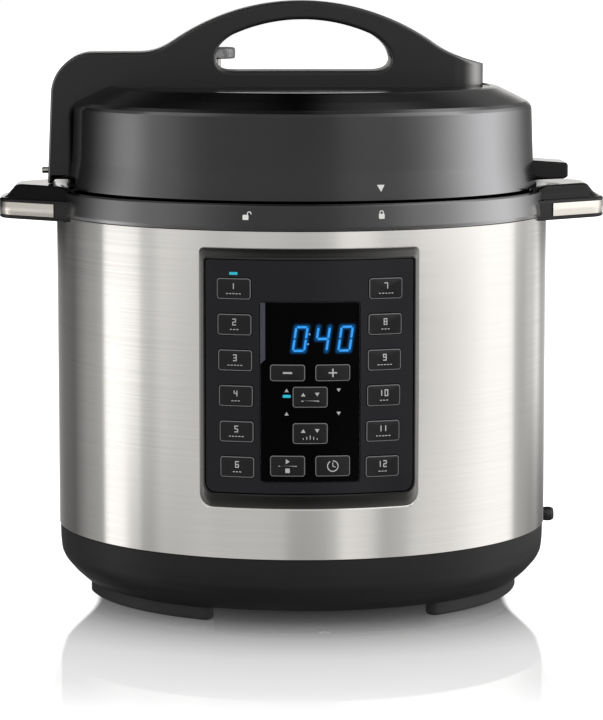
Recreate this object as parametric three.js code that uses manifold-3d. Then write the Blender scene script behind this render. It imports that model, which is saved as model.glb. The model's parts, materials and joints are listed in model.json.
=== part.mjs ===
// Electric pressure cooker with a twist-off lid, as an assembly of separate parts.
// Millimetres, +Z up, the control panel faces -Y. The feet stand on z = 0.
import * as THREE from "three";
import { mergeVertices } from "three/addons/utils/BufferGeometryUtils.js";
import Module from "manifold-3d";

const wasm = await Module();
wasm.setup();

// ---------- driving dimensions ----------
// Fits: the play between neighbouring parts.
const seat = 0.3; // faces that rest on each other
const play = 0.4; // parts that slide or turn in each other

// Cooking pot, heater and the steel well that they stand in.
const potRadius = 111.5;
const potWall = 1.5;
const potHeight = 162;
const potRim = 5; // how far the rolled rim stands out
const potPlay = 2.5; // air around the pot in the well
const sheet = 1.2; // thickness of the pressed steel parts
const heaterRadius = 86;
const heaterThickness = 7;

// Bayonet ring: lugs on the well and on the inner lid.
const lugCount = 6;
const lugArc = 24; // degrees
const lugDepth = 2.2;
const lugThickness = 2;
const neckHeight = 10.4; // from the pot's rim seat to the top of the lugs
const lidLugDepth = 2;

// Body.
const insulation = 18.6; // space between the well and the steel wall
const wallSpare = 8.8; // how much taller the wall is than the pot
const footHeight = 7.4;
const footWidth = 9;
const footArc = 50; // degrees
const footCentres = [-141, -31, 39, 141]; // degrees about the axis
const baseHeight = 29.5;
const baseChamfer = 13; // how far the base draws in towards the feet
const baseInset = 0.6; // how far the base stands in from the wall
const baseWall = 2.5;
const baseCollar = 8; // how far the base reaches up inside the wall
const footSetback = 2; // from the base's lower edge in to the feet
const coverThickness = 2.5;
const ledgeWidth = 18; // the ledge over the cover's edge
const ledgeThickness = 3;
const ventCount = 7;
const ventWidth = 3;
const ventPitch = 9;
const ventLength = 22;
const ventY = 66; // from the axis to the near end of the vents
const ringHeight = 14.4;
const ringProud = 1; // how far the top ring stands out from the wall
const ringWall = 2.4;

// Power board over the bottom cover, and the cord gland in the base's right side.
const boardWide = 112;
const boardDeep = 76;
const boardThickness = 1.6;
const boardPost = 7; // height of the posts that carry the board
const boardPostInset = 6;
const boardParts = 15; // height of the tallest part on the power board
const glandRadius = 4.1;
const glandLength = 34;
const glandProud = 18; // how far the gland stands out of the base
const glandY = 41;

// Temperature sensor in the middle of the heating plate.
const sensorRadius = 14;
const sensorHeight = 9;
const springRadius = 7;
const springWire = 0.7;
const springTurns = 5;

// Side handles.
const handleReach = 31; // from the wall to a handle's tip
const handleTier = 11.3; // height of the gripped tier
const handleHump = 7; // the raised block on the tier
const handleRoot = 42; // half width where it meets the ring
const handleTaper = 0.76; // how fast the half width falls towards the tip
const bandHeight = 7;
const bandThickness = 0.7;

// Control panel: lengths along the wall's curve.
const panelHalf = 60.3;
const panelBottom = 27; // above the wall's lower edge
const panelMargin = 8.5; // from the panel's top to the wall's upper edge
const panelProud = 4.4;
const panelFlank = 4.8; // sloping side of the bezel
const panelSill = 8.4; // the same slope along the bottom
const keyWidth = 18.3;
const keyHeight = 11;
const slimKeyHeight = 8.8; // the minus and plus keys
const keyCorner = 1.6;
const keyTravel = 0.5;
const keyRows = 6;
const keyMarginBelow = 13.6; // from the overlay's lower edge to the last row
const keyMarginAbove = 14.9;
const columnTop = 16.5; // degrees from the panel's middle to the key columns
const columnBottom = 15.8;
const middleLift = 1; // how far the middle keys stand above the rows beside them
const screenHalf = 26.4;
const screenMarginBelow = 5.5; // from the overlay's lower edge to the screen
const screenMarginAbove = 21;
const displayGap = 5.58; // from the minus and plus keys up to the display
const displayInset = 3;
const controlBoardWide = 80;
const controlParts = 5.4; // height of the tallest part on the control board

// Lid.
const lidGap = 1.3; // between the ring and the lid's skirt
const lidWall = 2.3;
const lidFlare = 2.6;
const lidSkirt = 40; // height of the upright part of the lid
const lidShoulder = 5; // rounding above the skirt
const lidCrown = 12; // from the skirt's top to the flat plate
const plateRadius = 106;
const handleWidth = 36;
const archRise = 48; // from the lid's plate to the top of the handle's arch
const archRadius = 125;
const archBar = 10;
const stubEnd = 100;
const armReach = 12; // how far the arm stands out from the lid
const armShoulder = 20; // height of the arm's shoulder above the plate
const handleScrewX = [-64, 70];
const handleScrewRadius = 2;
const pegRadius = 1.7; // the lid's rest peg on the arm
const pegReach = 3.9;
const tabReach = 18.9;
const tabWidth = 30;
const innerLidDrop = 28; // from the lid's plate down to the inner lid
const innerLidFlat = 94; // radius of its flat middle
const sealWidth = 10;
const rackWire = 1.2;
const boltRadius = 2.5;

// Steam valve and float valve.
const valveX = -48;
const valveY = 42;
const knobRadius = 12;
const knobHeight = 6.2;
const stemRadius = 4;
const stemHeight = 14.7;
const floatX = 34;
const floatY = 52;
const floatRadius = 2.6;
const floatHead = 4;
const floatTravel = 3.5;
const pipeBore = 2;
const pipeRadius = 4;
const shieldRadius = 10;

// Condensate collector at the back.
const collectorArc = 26; // degrees
const collectorDepth = 20;
const collectorHeight = 55;
const collectorWall = 2;
const holderHeight = 14;
const holderThickness = 2;
const railDepth = 9; // the rail that the collector hangs behind

// ---------- sizes that follow ----------
const wellInner = potRadius + potPlay;
const wellOuter = wellInner + sheet;
const rimRadius = potRadius + potRim;
const neckInner = rimRadius + 2 * play;
const neckOuter = neckInner + sheet;
const lugOuter = neckOuter + lugDepth;
const lidLugInner = lugOuter + play + 0.1;
const skirtInner = lidLugInner + lidLugDepth;
const skirtOuter = skirtInner + sheet;
const lidRadius = skirtOuter + 0.5 + lidWall;
const wallRadius = wellOuter + insulation + sheet;
const wallInner = wallRadius - sheet;

const baseRadius = wallRadius - baseInset;
const footOuter = baseRadius - baseChamfer - footSetback;
const baseBottom = footHeight + seat;
const wallHeight = potHeight + wallSpare;
const wallBottom = baseBottom + baseHeight + seat;
const wallTop = wallBottom + wallHeight;
const ringBottom = wallTop + seat;
const ringTop = ringBottom + ringHeight;
const potTop = ringTop - 1.4;
const potBottom = potTop - potHeight;
const rimSeat = potTop - 2; // underside of the pot's rim
const neckTop = rimSeat + neckHeight;
const wellShelf = rimSeat - seat - sheet;
const heaterTop = potBottom - seat;
const heaterBottom = heaterTop - heaterThickness;
const sensorBottom = heaterTop - sensorHeight;
const wellFloor = heaterBottom - seat - sheet;
const coverRadius = baseRadius - baseChamfer - baseWall - play;
const ledgeInner = coverRadius - ledgeWidth;
const ledgeBottom = baseBottom + coverThickness + seat;
const boardBottom = baseBottom + coverThickness + boardPost;
const boardTop = boardBottom + boardThickness;
const glandZ = wallBottom - 6.5;
const glandTip = Math.sqrt(baseRadius ** 2 - glandY ** 2) + glandProud;
const glandRoot = glandTip - glandLength;

const tierBottom = ringBottom - 2.1;
const tierTop = tierBottom + handleTier;
const humpTop = tierTop + handleHump;
const bandBottom = tierBottom + (handleTier - bandHeight) / 2;

const lidBottom = ringTop + lidGap;
const lidShoulderZ = lidBottom + lidSkirt;
const plateTop = lidShoulderZ + lidCrown;
const plateUnder = plateTop - lidWall;
const innerLidTop = plateUnder - innerLidDrop;
const sealTop = neckTop + 4.2;
const sealInner = rimRadius - sealWidth;
const lidLugBottom = ringTop + 1.7;
const archTop = plateTop + archRise;
const armTop = plateTop + armShoulder;
const armSide = lidRadius + armReach;

const panelRadius = wallRadius + panelProud;
const panelZ0 = wallBottom + panelBottom;
const panelZ1 = wallTop - panelMargin;
const overlayHalf = panelHalf - panelFlank;
const overlayZ0 = panelZ0 + panelSill;
const overlayZ1 = panelZ1 - panelFlank - 1;
const screenZ0 = overlayZ0 + screenMarginBelow;
const screenZ1 = overlayZ1 - screenMarginAbove;
const keyPitch = (overlayZ1 - overlayZ0 - keyMarginBelow - keyMarginAbove) / (keyRows - 1);
const startZ = overlayZ0 + keyMarginBelow + middleLift; // the start and timer keys
const minusZ = startZ + keyPitch * 2.62; // the minus and plus keys
const displayZ0 = minusZ + slimKeyHeight / 2 + displayGap;
const keyFront = panelRadius - 0.4;
const overlayFront = panelRadius - 0.8;
const overlayBack = overlayFront - 0.6;
const flangeBack = overlayBack - 1.3;
const membraneFront = flangeBack - keyTravel - 0.2;
const membraneBack = membraneFront - 0.35;
const carrierFront = membraneBack - seat;
const carrierBack = carrierFront - 2.1;
const controlBoardZ0 = overlayZ0 + 6;
const controlBoardZ1 = overlayZ1 - 6;
const wallWindow = 1.4; // how much larger the wall's window is than the overlay

const ringRadius = wallRadius + ringProud;
const frontReach = panelRadius;
const collectorInner = wallRadius + 2.8;
const rearReach = collectorInner + collectorDepth;

const roundSegments = 32;
const panelSegments = 64;
const degree = Math.PI / 180;

// ---------- solids ----------
/** A closed three.js geometry as a solid that can be joined and cut. */
function toSolid(geometry) {
  const bare = geometry.index ? geometry.toNonIndexed() : geometry.clone();
  for (const name of Object.keys(bare.attributes)) {
    if (name !== "position") bare.deleteAttribute(name);
  }
  const merged = mergeVertices(bare, 1e-4);
  const corners = merged.index.array;
  const vertProperties = new Float32Array(merged.attributes.position.array);
  const triVerts = [];
  const turnedRound = [];
  for (let i = 0; i < corners.length; i += 3) {
    const [a, b, c] = [corners[i], corners[i + 1], corners[i + 2]];
    if (a === b || b === c || c === a) continue;
    triVerts.push(a, b, c);
    turnedRound.push(a, c, b);
  }
  const make = (index) =>
    new wasm.Manifold(
      new wasm.Mesh({ numProp: 3, vertProperties, triVerts: new Uint32Array(index) }),
    );
  const made = make(triVerts);
  return made.volume() > 0 ? made : make(turnedRound);
}

/** A solid as three.js geometry. */
function toGeometry(solid) {
  const mesh = solid.getMesh();
  const geometry = new THREE.BufferGeometry();
  geometry.setAttribute("position", new THREE.BufferAttribute(mesh.vertProperties, 3));
  geometry.setIndex(new THREE.BufferAttribute(mesh.triVerts, 1));
  geometry.computeVertexNormals();
  return geometry;
}

/** A ring or disc turned about the vertical axis from [radius, height] points. */
function turned(profile, segments = roundSegments) {
  const points = [...profile, profile[0]].map(([r, z]) => new THREE.Vector2(r, z));
  return toSolid(new THREE.LatheGeometry(points, segments).rotateX(Math.PI / 2));
}

/** A plain ring between two radii and two heights. */
function ring(inner, outer, z0, z1, segments = roundSegments) {
  return turned([[inner, z0], [outer, z0], [outer, z1], [inner, z1]], segments);
}

/** A shape drawn in plan, raised from z0 to z1. */
function raised(shape, z0, z1, bevel = null, curveSegments = 5) {
  const settings = { depth: z1 - z0, bevelEnabled: false, curveSegments };
  if (bevel) {
    settings.depth -= bevel.height;
    settings.bevelEnabled = true;
    settings.bevelThickness = bevel.height;
    settings.bevelSize = bevel.width;
    settings.bevelOffset = -bevel.width;
    settings.bevelSegments = 1;
  }
  return toSolid(new THREE.ExtrudeGeometry(shape, settings).translate(0, 0, z0));
}

/** A shape drawn in the XZ plane, carried from y0 to y1. */
function carried(shape, y0, y1, curveSegments = 5) {
  const geometry = new THREE.ExtrudeGeometry(shape, {
    depth: y1 - y0,
    bevelEnabled: false,
    curveSegments,
  });
  return toSolid(geometry.rotateX(Math.PI / 2).translate(0, y1, 0));
}

function box(x0, x1, y0, y1, z0, z1) {
  const geometry = new THREE.BoxGeometry(x1 - x0, y1 - y0, z1 - z0);
  return toSolid(geometry.translate((x0 + x1) / 2, (y0 + y1) / 2, (z0 + z1) / 2));
}

function post(x, y, radius, z0, z1, segments = 16) {
  const geometry = new THREE.CylinderGeometry(radius, radius, z1 - z0, segments);
  return toSolid(geometry.rotateX(Math.PI / 2).translate(x, y, (z0 + z1) / 2));
}

/** A rod along X. */
function crossRod(y, z, radius, x0, x1, segments = 16) {
  const geometry = new THREE.CylinderGeometry(radius, radius, x1 - x0, segments);
  return toSolid(geometry.rotateZ(Math.PI / 2).translate((x0 + x1) / 2, y, z));
}

/** A turned piece that stands at (x, y). */
function turnedAt(x, y, profile, segments = 14) {
  return turned(profile, segments).translate([x, y, 0]);
}

/** Part of a ring, from azimuth a0 to a1 in degrees, raised from z0 to z1. */
function sector(inner, outer, a0, a1, z0, z1, steps = 6) {
  const shape = new THREE.Shape();
  shape.absarc(0, 0, outer, a0 * degree, a1 * degree, false);
  shape.absarc(0, 0, inner, a1 * degree, a0 * degree, true);
  return raised(shape, z0, z1, null, steps);
}

/** A rectangle with rounded corners; the lower and upper corners may differ. */
function roundedRectangle(x0, x1, y0, y1, lower, upper = lower) {
  const shape = new THREE.Shape();
  shape.absarc(x1 - lower, y0 + lower, lower, -Math.PI / 2, 0, false);
  shape.absarc(x1 - upper, y1 - upper, upper, 0, Math.PI / 2, false);
  shape.absarc(x0 + upper, y1 - upper, upper, Math.PI / 2, Math.PI, false);
  shape.absarc(x0 + lower, y0 + lower, lower, Math.PI, Math.PI * 1.5, false);
  return shape;
}

/** A plate bent round the axis: the part of a ring that lies behind a rectangle on the front. */
function bentPlate(inner, outer, half, z0, z1, lower = 1, upper = lower) {
  const widest = outer * Math.sin(half / panelRadius);
  const block = carried(
    roundedRectangle(-widest, widest, z0, z1, lower, upper),
    -outer - 1,
    0,
    3,
  );
  return ring(inner, outer, z0 - 1, z1 + 1, panelSegments).intersect(block);
}

/** A closed hoop: each outline is joined to the next one, and the last to the first. */
function hoop(outlines) {
  const count = outlines[0].length;
  const positions = outlines.flat().flatMap((p) => [p.x, p.y, p.z]);
  const index = [];
  for (let row = 0; row < outlines.length; row++) {
    const next = ((row + 1) % outlines.length) * count;
    for (let i = 0; i < count; i++) {
      const j = (i + 1) % count;
      index.push(row * count + i, row * count + j, next + j);
      index.push(row * count + i, next + j, next + i);
    }
  }
  const geometry = new THREE.BufferGeometry();
  geometry.setAttribute("position", new THREE.Float32BufferAttribute(positions, 3));
  geometry.setIndex(index);
  return toSolid(geometry);
}

/** A rounded rectangle laid on the panel's curve, as points at one radius. */
function panelOutline(radius, half, z0, z1, lower, upper) {
  const corners = [
    [half - lower, z0 + lower, lower, -90],
    [half - upper, z1 - upper, upper, 0],
    [upper - half, z1 - upper, upper, 90],
    [lower - half, z0 + lower, lower, 180],
  ];
  const flat = [];
  corners.forEach(([u, z, corner, start], k) => {
    for (let step = 0; step <= 3; step++) {
      const angle = (start + step * 30) * degree;
      flat.push([u + corner * Math.cos(angle), z + corner * Math.sin(angle)]);
    }
    if (k === 0 || k === 2) return;
    const level = k === 1 ? z1 : z0;
    const side = k === 1 ? 1 : -1;
    const reach = half - (k === 1 ? upper : lower);
    for (let step = 1; step < 9; step++) {
      flat.push([side * reach * (1 - (2 * step) / 9), level]);
    }
  });
  return flat.map(([u, z]) => {
    const turn = u / panelRadius;
    return new THREE.Vector3(radius * Math.sin(turn), -radius * Math.cos(turn), z);
  });
}

// ---------- the assembly ----------
const cooker = new THREE.Group();
cooker.name = "pressure_cooker";

function finish(color, roughness, metalness = 0) {
  return new THREE.MeshStandardMaterial({ color, roughness, metalness });
}

function add(name, solid, material, parent = cooker) {
  const mesh = new THREE.Mesh(toGeometry(solid), material);
  mesh.name = name;
  parent.add(mesh);
  return mesh;
}

const satinBlack = () => finish(0x2b2b2d, 0.5);
const mattBlack = () => finish(0x222224, 0.65);
const glossBlack = () => finish(0x0c0c0e, 0.15);
const brushedSteel = () => finish(0xc6c5c2, 0.32, 1);
const plainSteel = () => finish(0xb0b0ae, 0.4, 1);
const aluminium = () => finish(0xa4a6a8, 0.45, 1);
const silicone = () => finish(0xd9d7cf, 0.7);
const rubber = () => finish(0x1c1c1d, 0.85);
const circuitGreen = () => finish(0x1f4a32, 0.6);

// ---------- base ----------
/** The base's outer outline, from its lower edge up to the wall. */
function baseOuter() {
  const full = baseRadius;
  const low = baseBottom;
  return [
    [full - baseChamfer, low],
    [full - baseChamfer * 0.58, low + baseChamfer * 0.39],
    [full - baseChamfer * 0.21, low + baseChamfer * 0.82],
    [full - baseChamfer * 0.07, low + baseChamfer * 1.06],
    [full - 0.2, low + baseChamfer * 1.5],
    [full, baseBottom + baseHeight],
  ];
}

function makeBase() {
  const inside = baseOuter().map(([r, z]) => [r - baseWall, z]).slice(2, 5).reverse();
  const collarTop = wallBottom + baseCollar;
  const collarRadius = wallInner - play;
  const shell = turned([
    ...baseOuter(),
    [collarRadius, baseBottom + baseHeight],
    [collarRadius, collarTop],
    [collarRadius - baseWall, collarTop],
    ...inside,
    [coverRadius + play, ledgeBottom + ledgeThickness],
    [ledgeInner, ledgeBottom + ledgeThickness],
    [ledgeInner, ledgeBottom],
    [coverRadius + play, ledgeBottom],
    [coverRadius + play, baseBottom],
  ]);
  const drilled = shell.subtract(
    crossRod(glandY, glandZ, glandRadius + play, glandRoot, glandTip),
  );
  let cover = turned([
    [0, baseBottom],
    [coverRadius, baseBottom],
    [coverRadius, baseBottom + coverThickness],
    [0, baseBottom + coverThickness],
  ]);
  const postX = boardWide / 2 - boardPostInset;
  const postY = boardDeep / 2 - boardPostInset;
  for (const x of [-postX, postX]) {
    for (const y of [-postY, postY]) {
      cover = cover.add(post(x, y, 3, baseBottom + 1, boardBottom - seat, 10));
    }
  }
  const ventTop = baseBottom + coverThickness + 1;
  for (let i = 0; i < ventCount; i++) {
    const x = (i - (ventCount - 1) / 2) * ventPitch - ventWidth / 2;
    const vent = box(x, x + ventWidth, ventY, ventY + ventLength, baseBottom - 1, ventTop);
    cover = cover.subtract(vent);
  }
  add("base_shell", drilled, mattBlack());
  add("bottom_cover", cover, mattBlack());
  const inner = footOuter - footWidth;
  const names = ["front_left", "front_right", "rear_right", "rear_left"];
  footCentres.forEach((centre, i) => {
    const [start, end] = [centre - footArc / 2, centre + footArc / 2];
    add(`foot_${names[i]}`, sector(inner, footOuter, start, end, 0, footHeight), rubber());
  });
}

/** The power board with its transformer, relay, capacitor and terminal block. */
function makePowerBoard() {
  const [halfX, halfY] = [boardWide / 2, boardDeep / 2];
  const foot = boardTop - 0.5;
  const part = (x0, x1, y0, y1, height) =>
    box(x0 * halfX, x1 * halfX, y0 * halfY, y1 * halfY, foot, boardTop + height);
  const transformer = part(-0.79, -0.43, -0.74, -0.16, boardParts);
  const relay = part(-0.25, 0.07, 0.2, 0.8, boardParts * 0.8);
  const capacitor = post(halfX * 0.4, -halfY * 0.42, halfY * 0.18, foot, boardTop + boardParts, 14);
  const terminals = part(0.57, 0.86, 0.16, 0.74, boardParts * 0.65);
  const board = box(-halfX, halfX, -halfY, halfY, boardBottom, boardTop)
    .add(transformer)
    .add(relay)
    .add(capacitor)
    .add(terminals);
  add("power_board", board, circuitGreen());
}

/** The strain relief in the right side of the base: a grip inside, a neck and a rounded bulb. */
function makeGland() {
  const neck = glandRadius * 0.74;
  const mouth = glandRadius * 0.5;
  const profile = [
    [0, 0],
    [glandRadius, 0],
    [glandRadius, glandLength - 14],
    [neck, glandLength - 13],
    [neck, glandLength - 8.5],
    [glandRadius, glandLength - 7.5],
    [glandRadius, glandLength - 2.5],
    [glandRadius * 0.8, glandLength - 0.5],
    [mouth, glandLength],
    [mouth, glandLength - 2],
    [0, glandLength - 2],
  ];
  const upright = profile.map(([r, h]) => new THREE.Vector2(r, h));
  const geometry = new THREE.LatheGeometry([...upright, upright[0]], 12);
  geometry.rotateZ(-Math.PI / 2).translate(glandRoot, glandY, glandZ);
  add("cord_gland", toSolid(geometry), finish(0x141414, 0.4));
}

// ---------- steel wall and top ring ----------
function makeWall() {
  const half = panelRadius * Math.sin((overlayHalf + wallWindow) / panelRadius);
  const [z0, z1] = [overlayZ0 - wallWindow, overlayZ1 + wallWindow];
  const opening = carried(roundedRectangle(-half, half, z0, z1, 5, 2), -panelRadius - 5, 0, 3);
  const wall = ring(wallInner, wallRadius, wallBottom, wallTop).subtract(opening);
  add("steel_wall", wall, brushedSteel());
}

function makeRing() {
  const lip = wellShelf - seat;
  const spigot = wallInner - play;
  const profile = [
    [wellOuter + play, lip - ringWall],
    [neckOuter + play + ringWall, lip - ringWall],
    [neckOuter + play + ringWall, ringTop - ringWall],
    [spigot - ringWall, ringTop - ringWall],
    [spigot - ringWall, ringBottom - 2 * ringWall],
    [spigot, ringBottom - 2 * ringWall],
    [spigot, ringBottom],
    [ringRadius, ringBottom],
    [ringRadius, ringBottom + 2],
    [ringRadius - 1.2, ringTop - 1],
    [ringRadius - 2.2, ringTop],
    [neckOuter + play, ringTop],
    [neckOuter + play, lip],
    [wellOuter + play, lip],
  ];
  add("top_ring", turned(profile), satinBlack());
}

/** The space that the top ring takes up, with a seat's gap, for parts that fit round it. */
function ringSpace() {
  const below = ringBottom - 30;
  return turned([
    [0, below],
    [wallRadius + seat + 0.2, below],
    [wallRadius + seat + 0.2, ringBottom - seat],
    [ringRadius + seat, ringBottom - seat],
    [ringRadius + seat, ringBottom + 2],
    [ringRadius + seat - 1.2, ringTop - 1],
    [ringRadius + seat - 2.2, ringTop + seat],
    [0, ringTop + seat],
  ]);
}

// ---------- well, heater, sensor, pot ----------
function makeWell() {
  const eye = sensorRadius + 8;
  const bend = 3;
  let well = turned([
    [eye, wellFloor],
    [wellOuter - bend, wellFloor],
    [wellOuter, wellFloor + bend],
    [wellOuter, wellShelf],
    [neckOuter, wellShelf],
    [neckOuter, neckTop],
    [neckInner, neckTop],
    [neckInner, wellShelf + sheet],
    [wellInner, wellShelf + sheet],
    [wellInner, wellFloor + bend + sheet],
    [wellInner - bend, wellFloor + sheet],
    [eye, wellFloor + sheet],
  ]);
  for (let i = 0; i < lugCount; i++) {
    const middle = (i * 360) / lugCount;
    const lug = sector(
      neckInner + 0.3,
      lugOuter,
      middle - lugArc / 2,
      middle + lugArc / 2,
      neckTop - lugThickness,
      neckTop,
      4,
    );
    well = well.add(lug);
  }
  add("steel_well", well, plainSteel());
}

function makeHeater() {
  add(
    "heating_plate",
    turned([
      [sensorRadius + play, heaterBottom],
      [heaterRadius - 2, heaterBottom],
      [heaterRadius, heaterBottom + 2],
      [heaterRadius, heaterTop - 1.5],
      [heaterRadius - 1.5, heaterTop],
      [sensorRadius + play, heaterTop],
    ]),
    aluminium(),
  );
}

/** The spring-loaded cap that touches the pot, and its coil spring on the power board. */
function makeSensor() {
  const cap = turned([
    [0, sensorBottom],
    [sensorRadius - 2, sensorBottom],
    [sensorRadius, sensorBottom + 2],
    [sensorRadius, heaterTop - 1],
    [sensorRadius - 1, heaterTop],
    [0, heaterTop],
  ], 24);
  add("sensor_cap", cap, aluminium());

  const bottom = boardTop + seat + springWire;
  const rise = sensorBottom - seat - springWire - bottom;
  class Coil extends THREE.Curve {
    getPoint(t) {
      const angle = t * springTurns * 2 * Math.PI;
      const [x, y] = [springRadius * Math.cos(angle), springRadius * Math.sin(angle)];
      return new THREE.Vector3(x, y, bottom + t * rise);
    }
  }
  const section = new THREE.Shape();
  section.absarc(0, 0, springWire, 0, 2 * Math.PI, false);
  const spring = new THREE.ExtrudeGeometry(section, {
    steps: springTurns * 8,
    extrudePath: new Coil(),
    curveSegments: 2,
  });
  add("sensor_spring", toSolid(spring), plainSteel());
}

function makePot() {
  const fillet = 8;
  const bend = fillet * 0.3;
  const wallStart = potBottom + fillet;
  const floor = potBottom + potWall + 0.6;
  const pot = turned([
    [0, potBottom],
    [potRadius - fillet, potBottom],
    [potRadius - bend, potBottom + bend],
    [potRadius, wallStart],
    [potRadius, rimSeat],
    [rimRadius, rimSeat],
    [rimRadius, potTop],
    [potRadius - potWall, potTop],
    [potRadius - potWall, wallStart],
    [potRadius - bend - potWall * 0.7, potBottom + bend + potWall * 0.7],
    [potRadius - fillet, floor],
    [0, floor],
  ]);
  add("cooking_pot", pot, aluminium());
}

// ---------- side handles ----------
/** A handle's plan, drawn in by an inset all round. */
function handlePlan(inset, corner) {
  const tip = wallRadius + handleReach - inset;
  const back = wallRadius - 12;
  const slope = Math.sqrt(1 + handleTaper ** 2);
  const half = (x) => handleRoot - handleTaper * (x - wallRadius) - inset * slope;
  const cut = corner / slope;
  const shape = new THREE.Shape();
  shape.moveTo(back, -half(back));
  shape.lineTo(tip - cut, -half(tip - cut));
  shape.quadraticCurveTo(tip, -half(tip), tip, -half(tip) + corner);
  shape.lineTo(tip, half(tip) - corner);
  shape.quadraticCurveTo(tip, half(tip), tip - cut, half(tip - cut));
  shape.lineTo(back, half(back));
  shape.closePath();
  return shape;
}

/** A disc, tall enough to cut everything inside a radius out of a side handle. */
function disc(radius, z0, z1) {
  return turned([[0, z0], [radius, z0], [radius, z1], [0, z1]]);
}

function makeSideHandles() {
  const bandTop = bandBottom + bandHeight;
  const lidReach = lidRadius + lidFlare + 1.8;
  const trim = ringSpace().add(disc(lidReach, ringTop, humpTop + 5));
  const tier = raised(handlePlan(0, 8), tierBottom, tierTop);
  const hump = raised(handlePlan(4, 6), tierTop - 4, humpTop, { width: 6.5, height: 6 });
  const grooveFloor = raised(handlePlan(bandThickness + 0.5, 7), bandBottom - 1, bandTop + 1);
  const groove = raised(handlePlan(-5, 8), bandBottom - seat, bandTop + seat).subtract(grooveFloor);
  const handle = tier.add(hump).subtract(groove).subtract(trim);
  const bandInside = raised(handlePlan(bandThickness + 0.1, 7.6), bandBottom - 1, bandTop + 1);
  const band = raised(handlePlan(0.1, 8), bandBottom, bandTop)
    .subtract(bandInside)
    .subtract(trim)
    .subtract(disc(wallRadius + 3.5, bandBottom - 2, bandTop + 2));
  add("side_handle_right", handle, glossBlack());
  add("handle_band_right", band, brushedSteel());
  add("side_handle_left", handle.rotate([0, 0, 180]), glossBlack());
  add("handle_band_left", band.rotate([0, 0, 180]), brushedSteel());
}

// ---------- control panel ----------
/** Where each key stands: degrees from the panel's middle, height, key height. */
function keyPlaces() {
  const places = [];
  const rowZ = (row) => overlayZ0 + keyMarginBelow + (keyRows - 1 - row) * keyPitch;
  for (let row = 0; row < keyRows; row++) {
    const turn = columnTop + ((columnBottom - columnTop) * row) / (keyRows - 1);
    places.push({ name: `key_left_${row + 1}`, turn: -turn, z: rowZ(row), height: keyHeight });
    places.push({ name: `key_right_${row + 1}`, turn, z: rowZ(row), height: keyHeight });
  }
  const pair = ((keyWidth + 5.3) / 2 / panelRadius) / degree;
  const pressureZ = startZ + keyPitch * 1.94;
  const temperatureZ = startZ + keyPitch * 0.92;
  places.push({ name: "key_minus", turn: -pair, z: minusZ, height: slimKeyHeight });
  places.push({ name: "key_plus", turn: pair, z: minusZ, height: slimKeyHeight });
  places.push({ name: "key_pressure", turn: 0, z: pressureZ, height: keyHeight });
  places.push({ name: "key_temperature", turn: 0, z: temperatureZ, height: keyHeight });
  places.push({ name: "key_start", turn: -pair, z: startZ, height: keyHeight });
  places.push({ name: "key_timer", turn: pair, z: startZ, height: keyHeight });
  return places;
}

/** A block with a key's outline, grown all round, between two depths on the panel's front. */
function keyBlock(place, grow, depth0, depth1) {
  const half = keyWidth / 2 + grow;
  const tall = place.height / 2 + grow;
  const outline = roundedRectangle(-half, half, place.z - tall, place.z + tall, keyCorner + grow);
  return carried(outline, -depth1, -depth0, 1).rotate([0, 0, place.turn]);
}

/** The thin flange that holds a key behind the overlay. */
function keyFlange(place) {
  const half = keyWidth / 2 + 0.8;
  const tall = place.height / 2 + 0.8;
  const [z0, z1] = [place.z - tall, place.z + tall];
  return box(-half, half, -flangeBack - 0.5, -flangeBack, z0, z1).rotate([0, 0, place.turn]);
}

/** The screen's outline, drawn in from the overlay's window. */
function screenOutline(shrink) {
  const wide = panelRadius * Math.sin(screenHalf / panelRadius) - shrink;
  return roundedRectangle(-wide, wide, screenZ0 + shrink, screenZ1 - shrink, 2);
}

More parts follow.
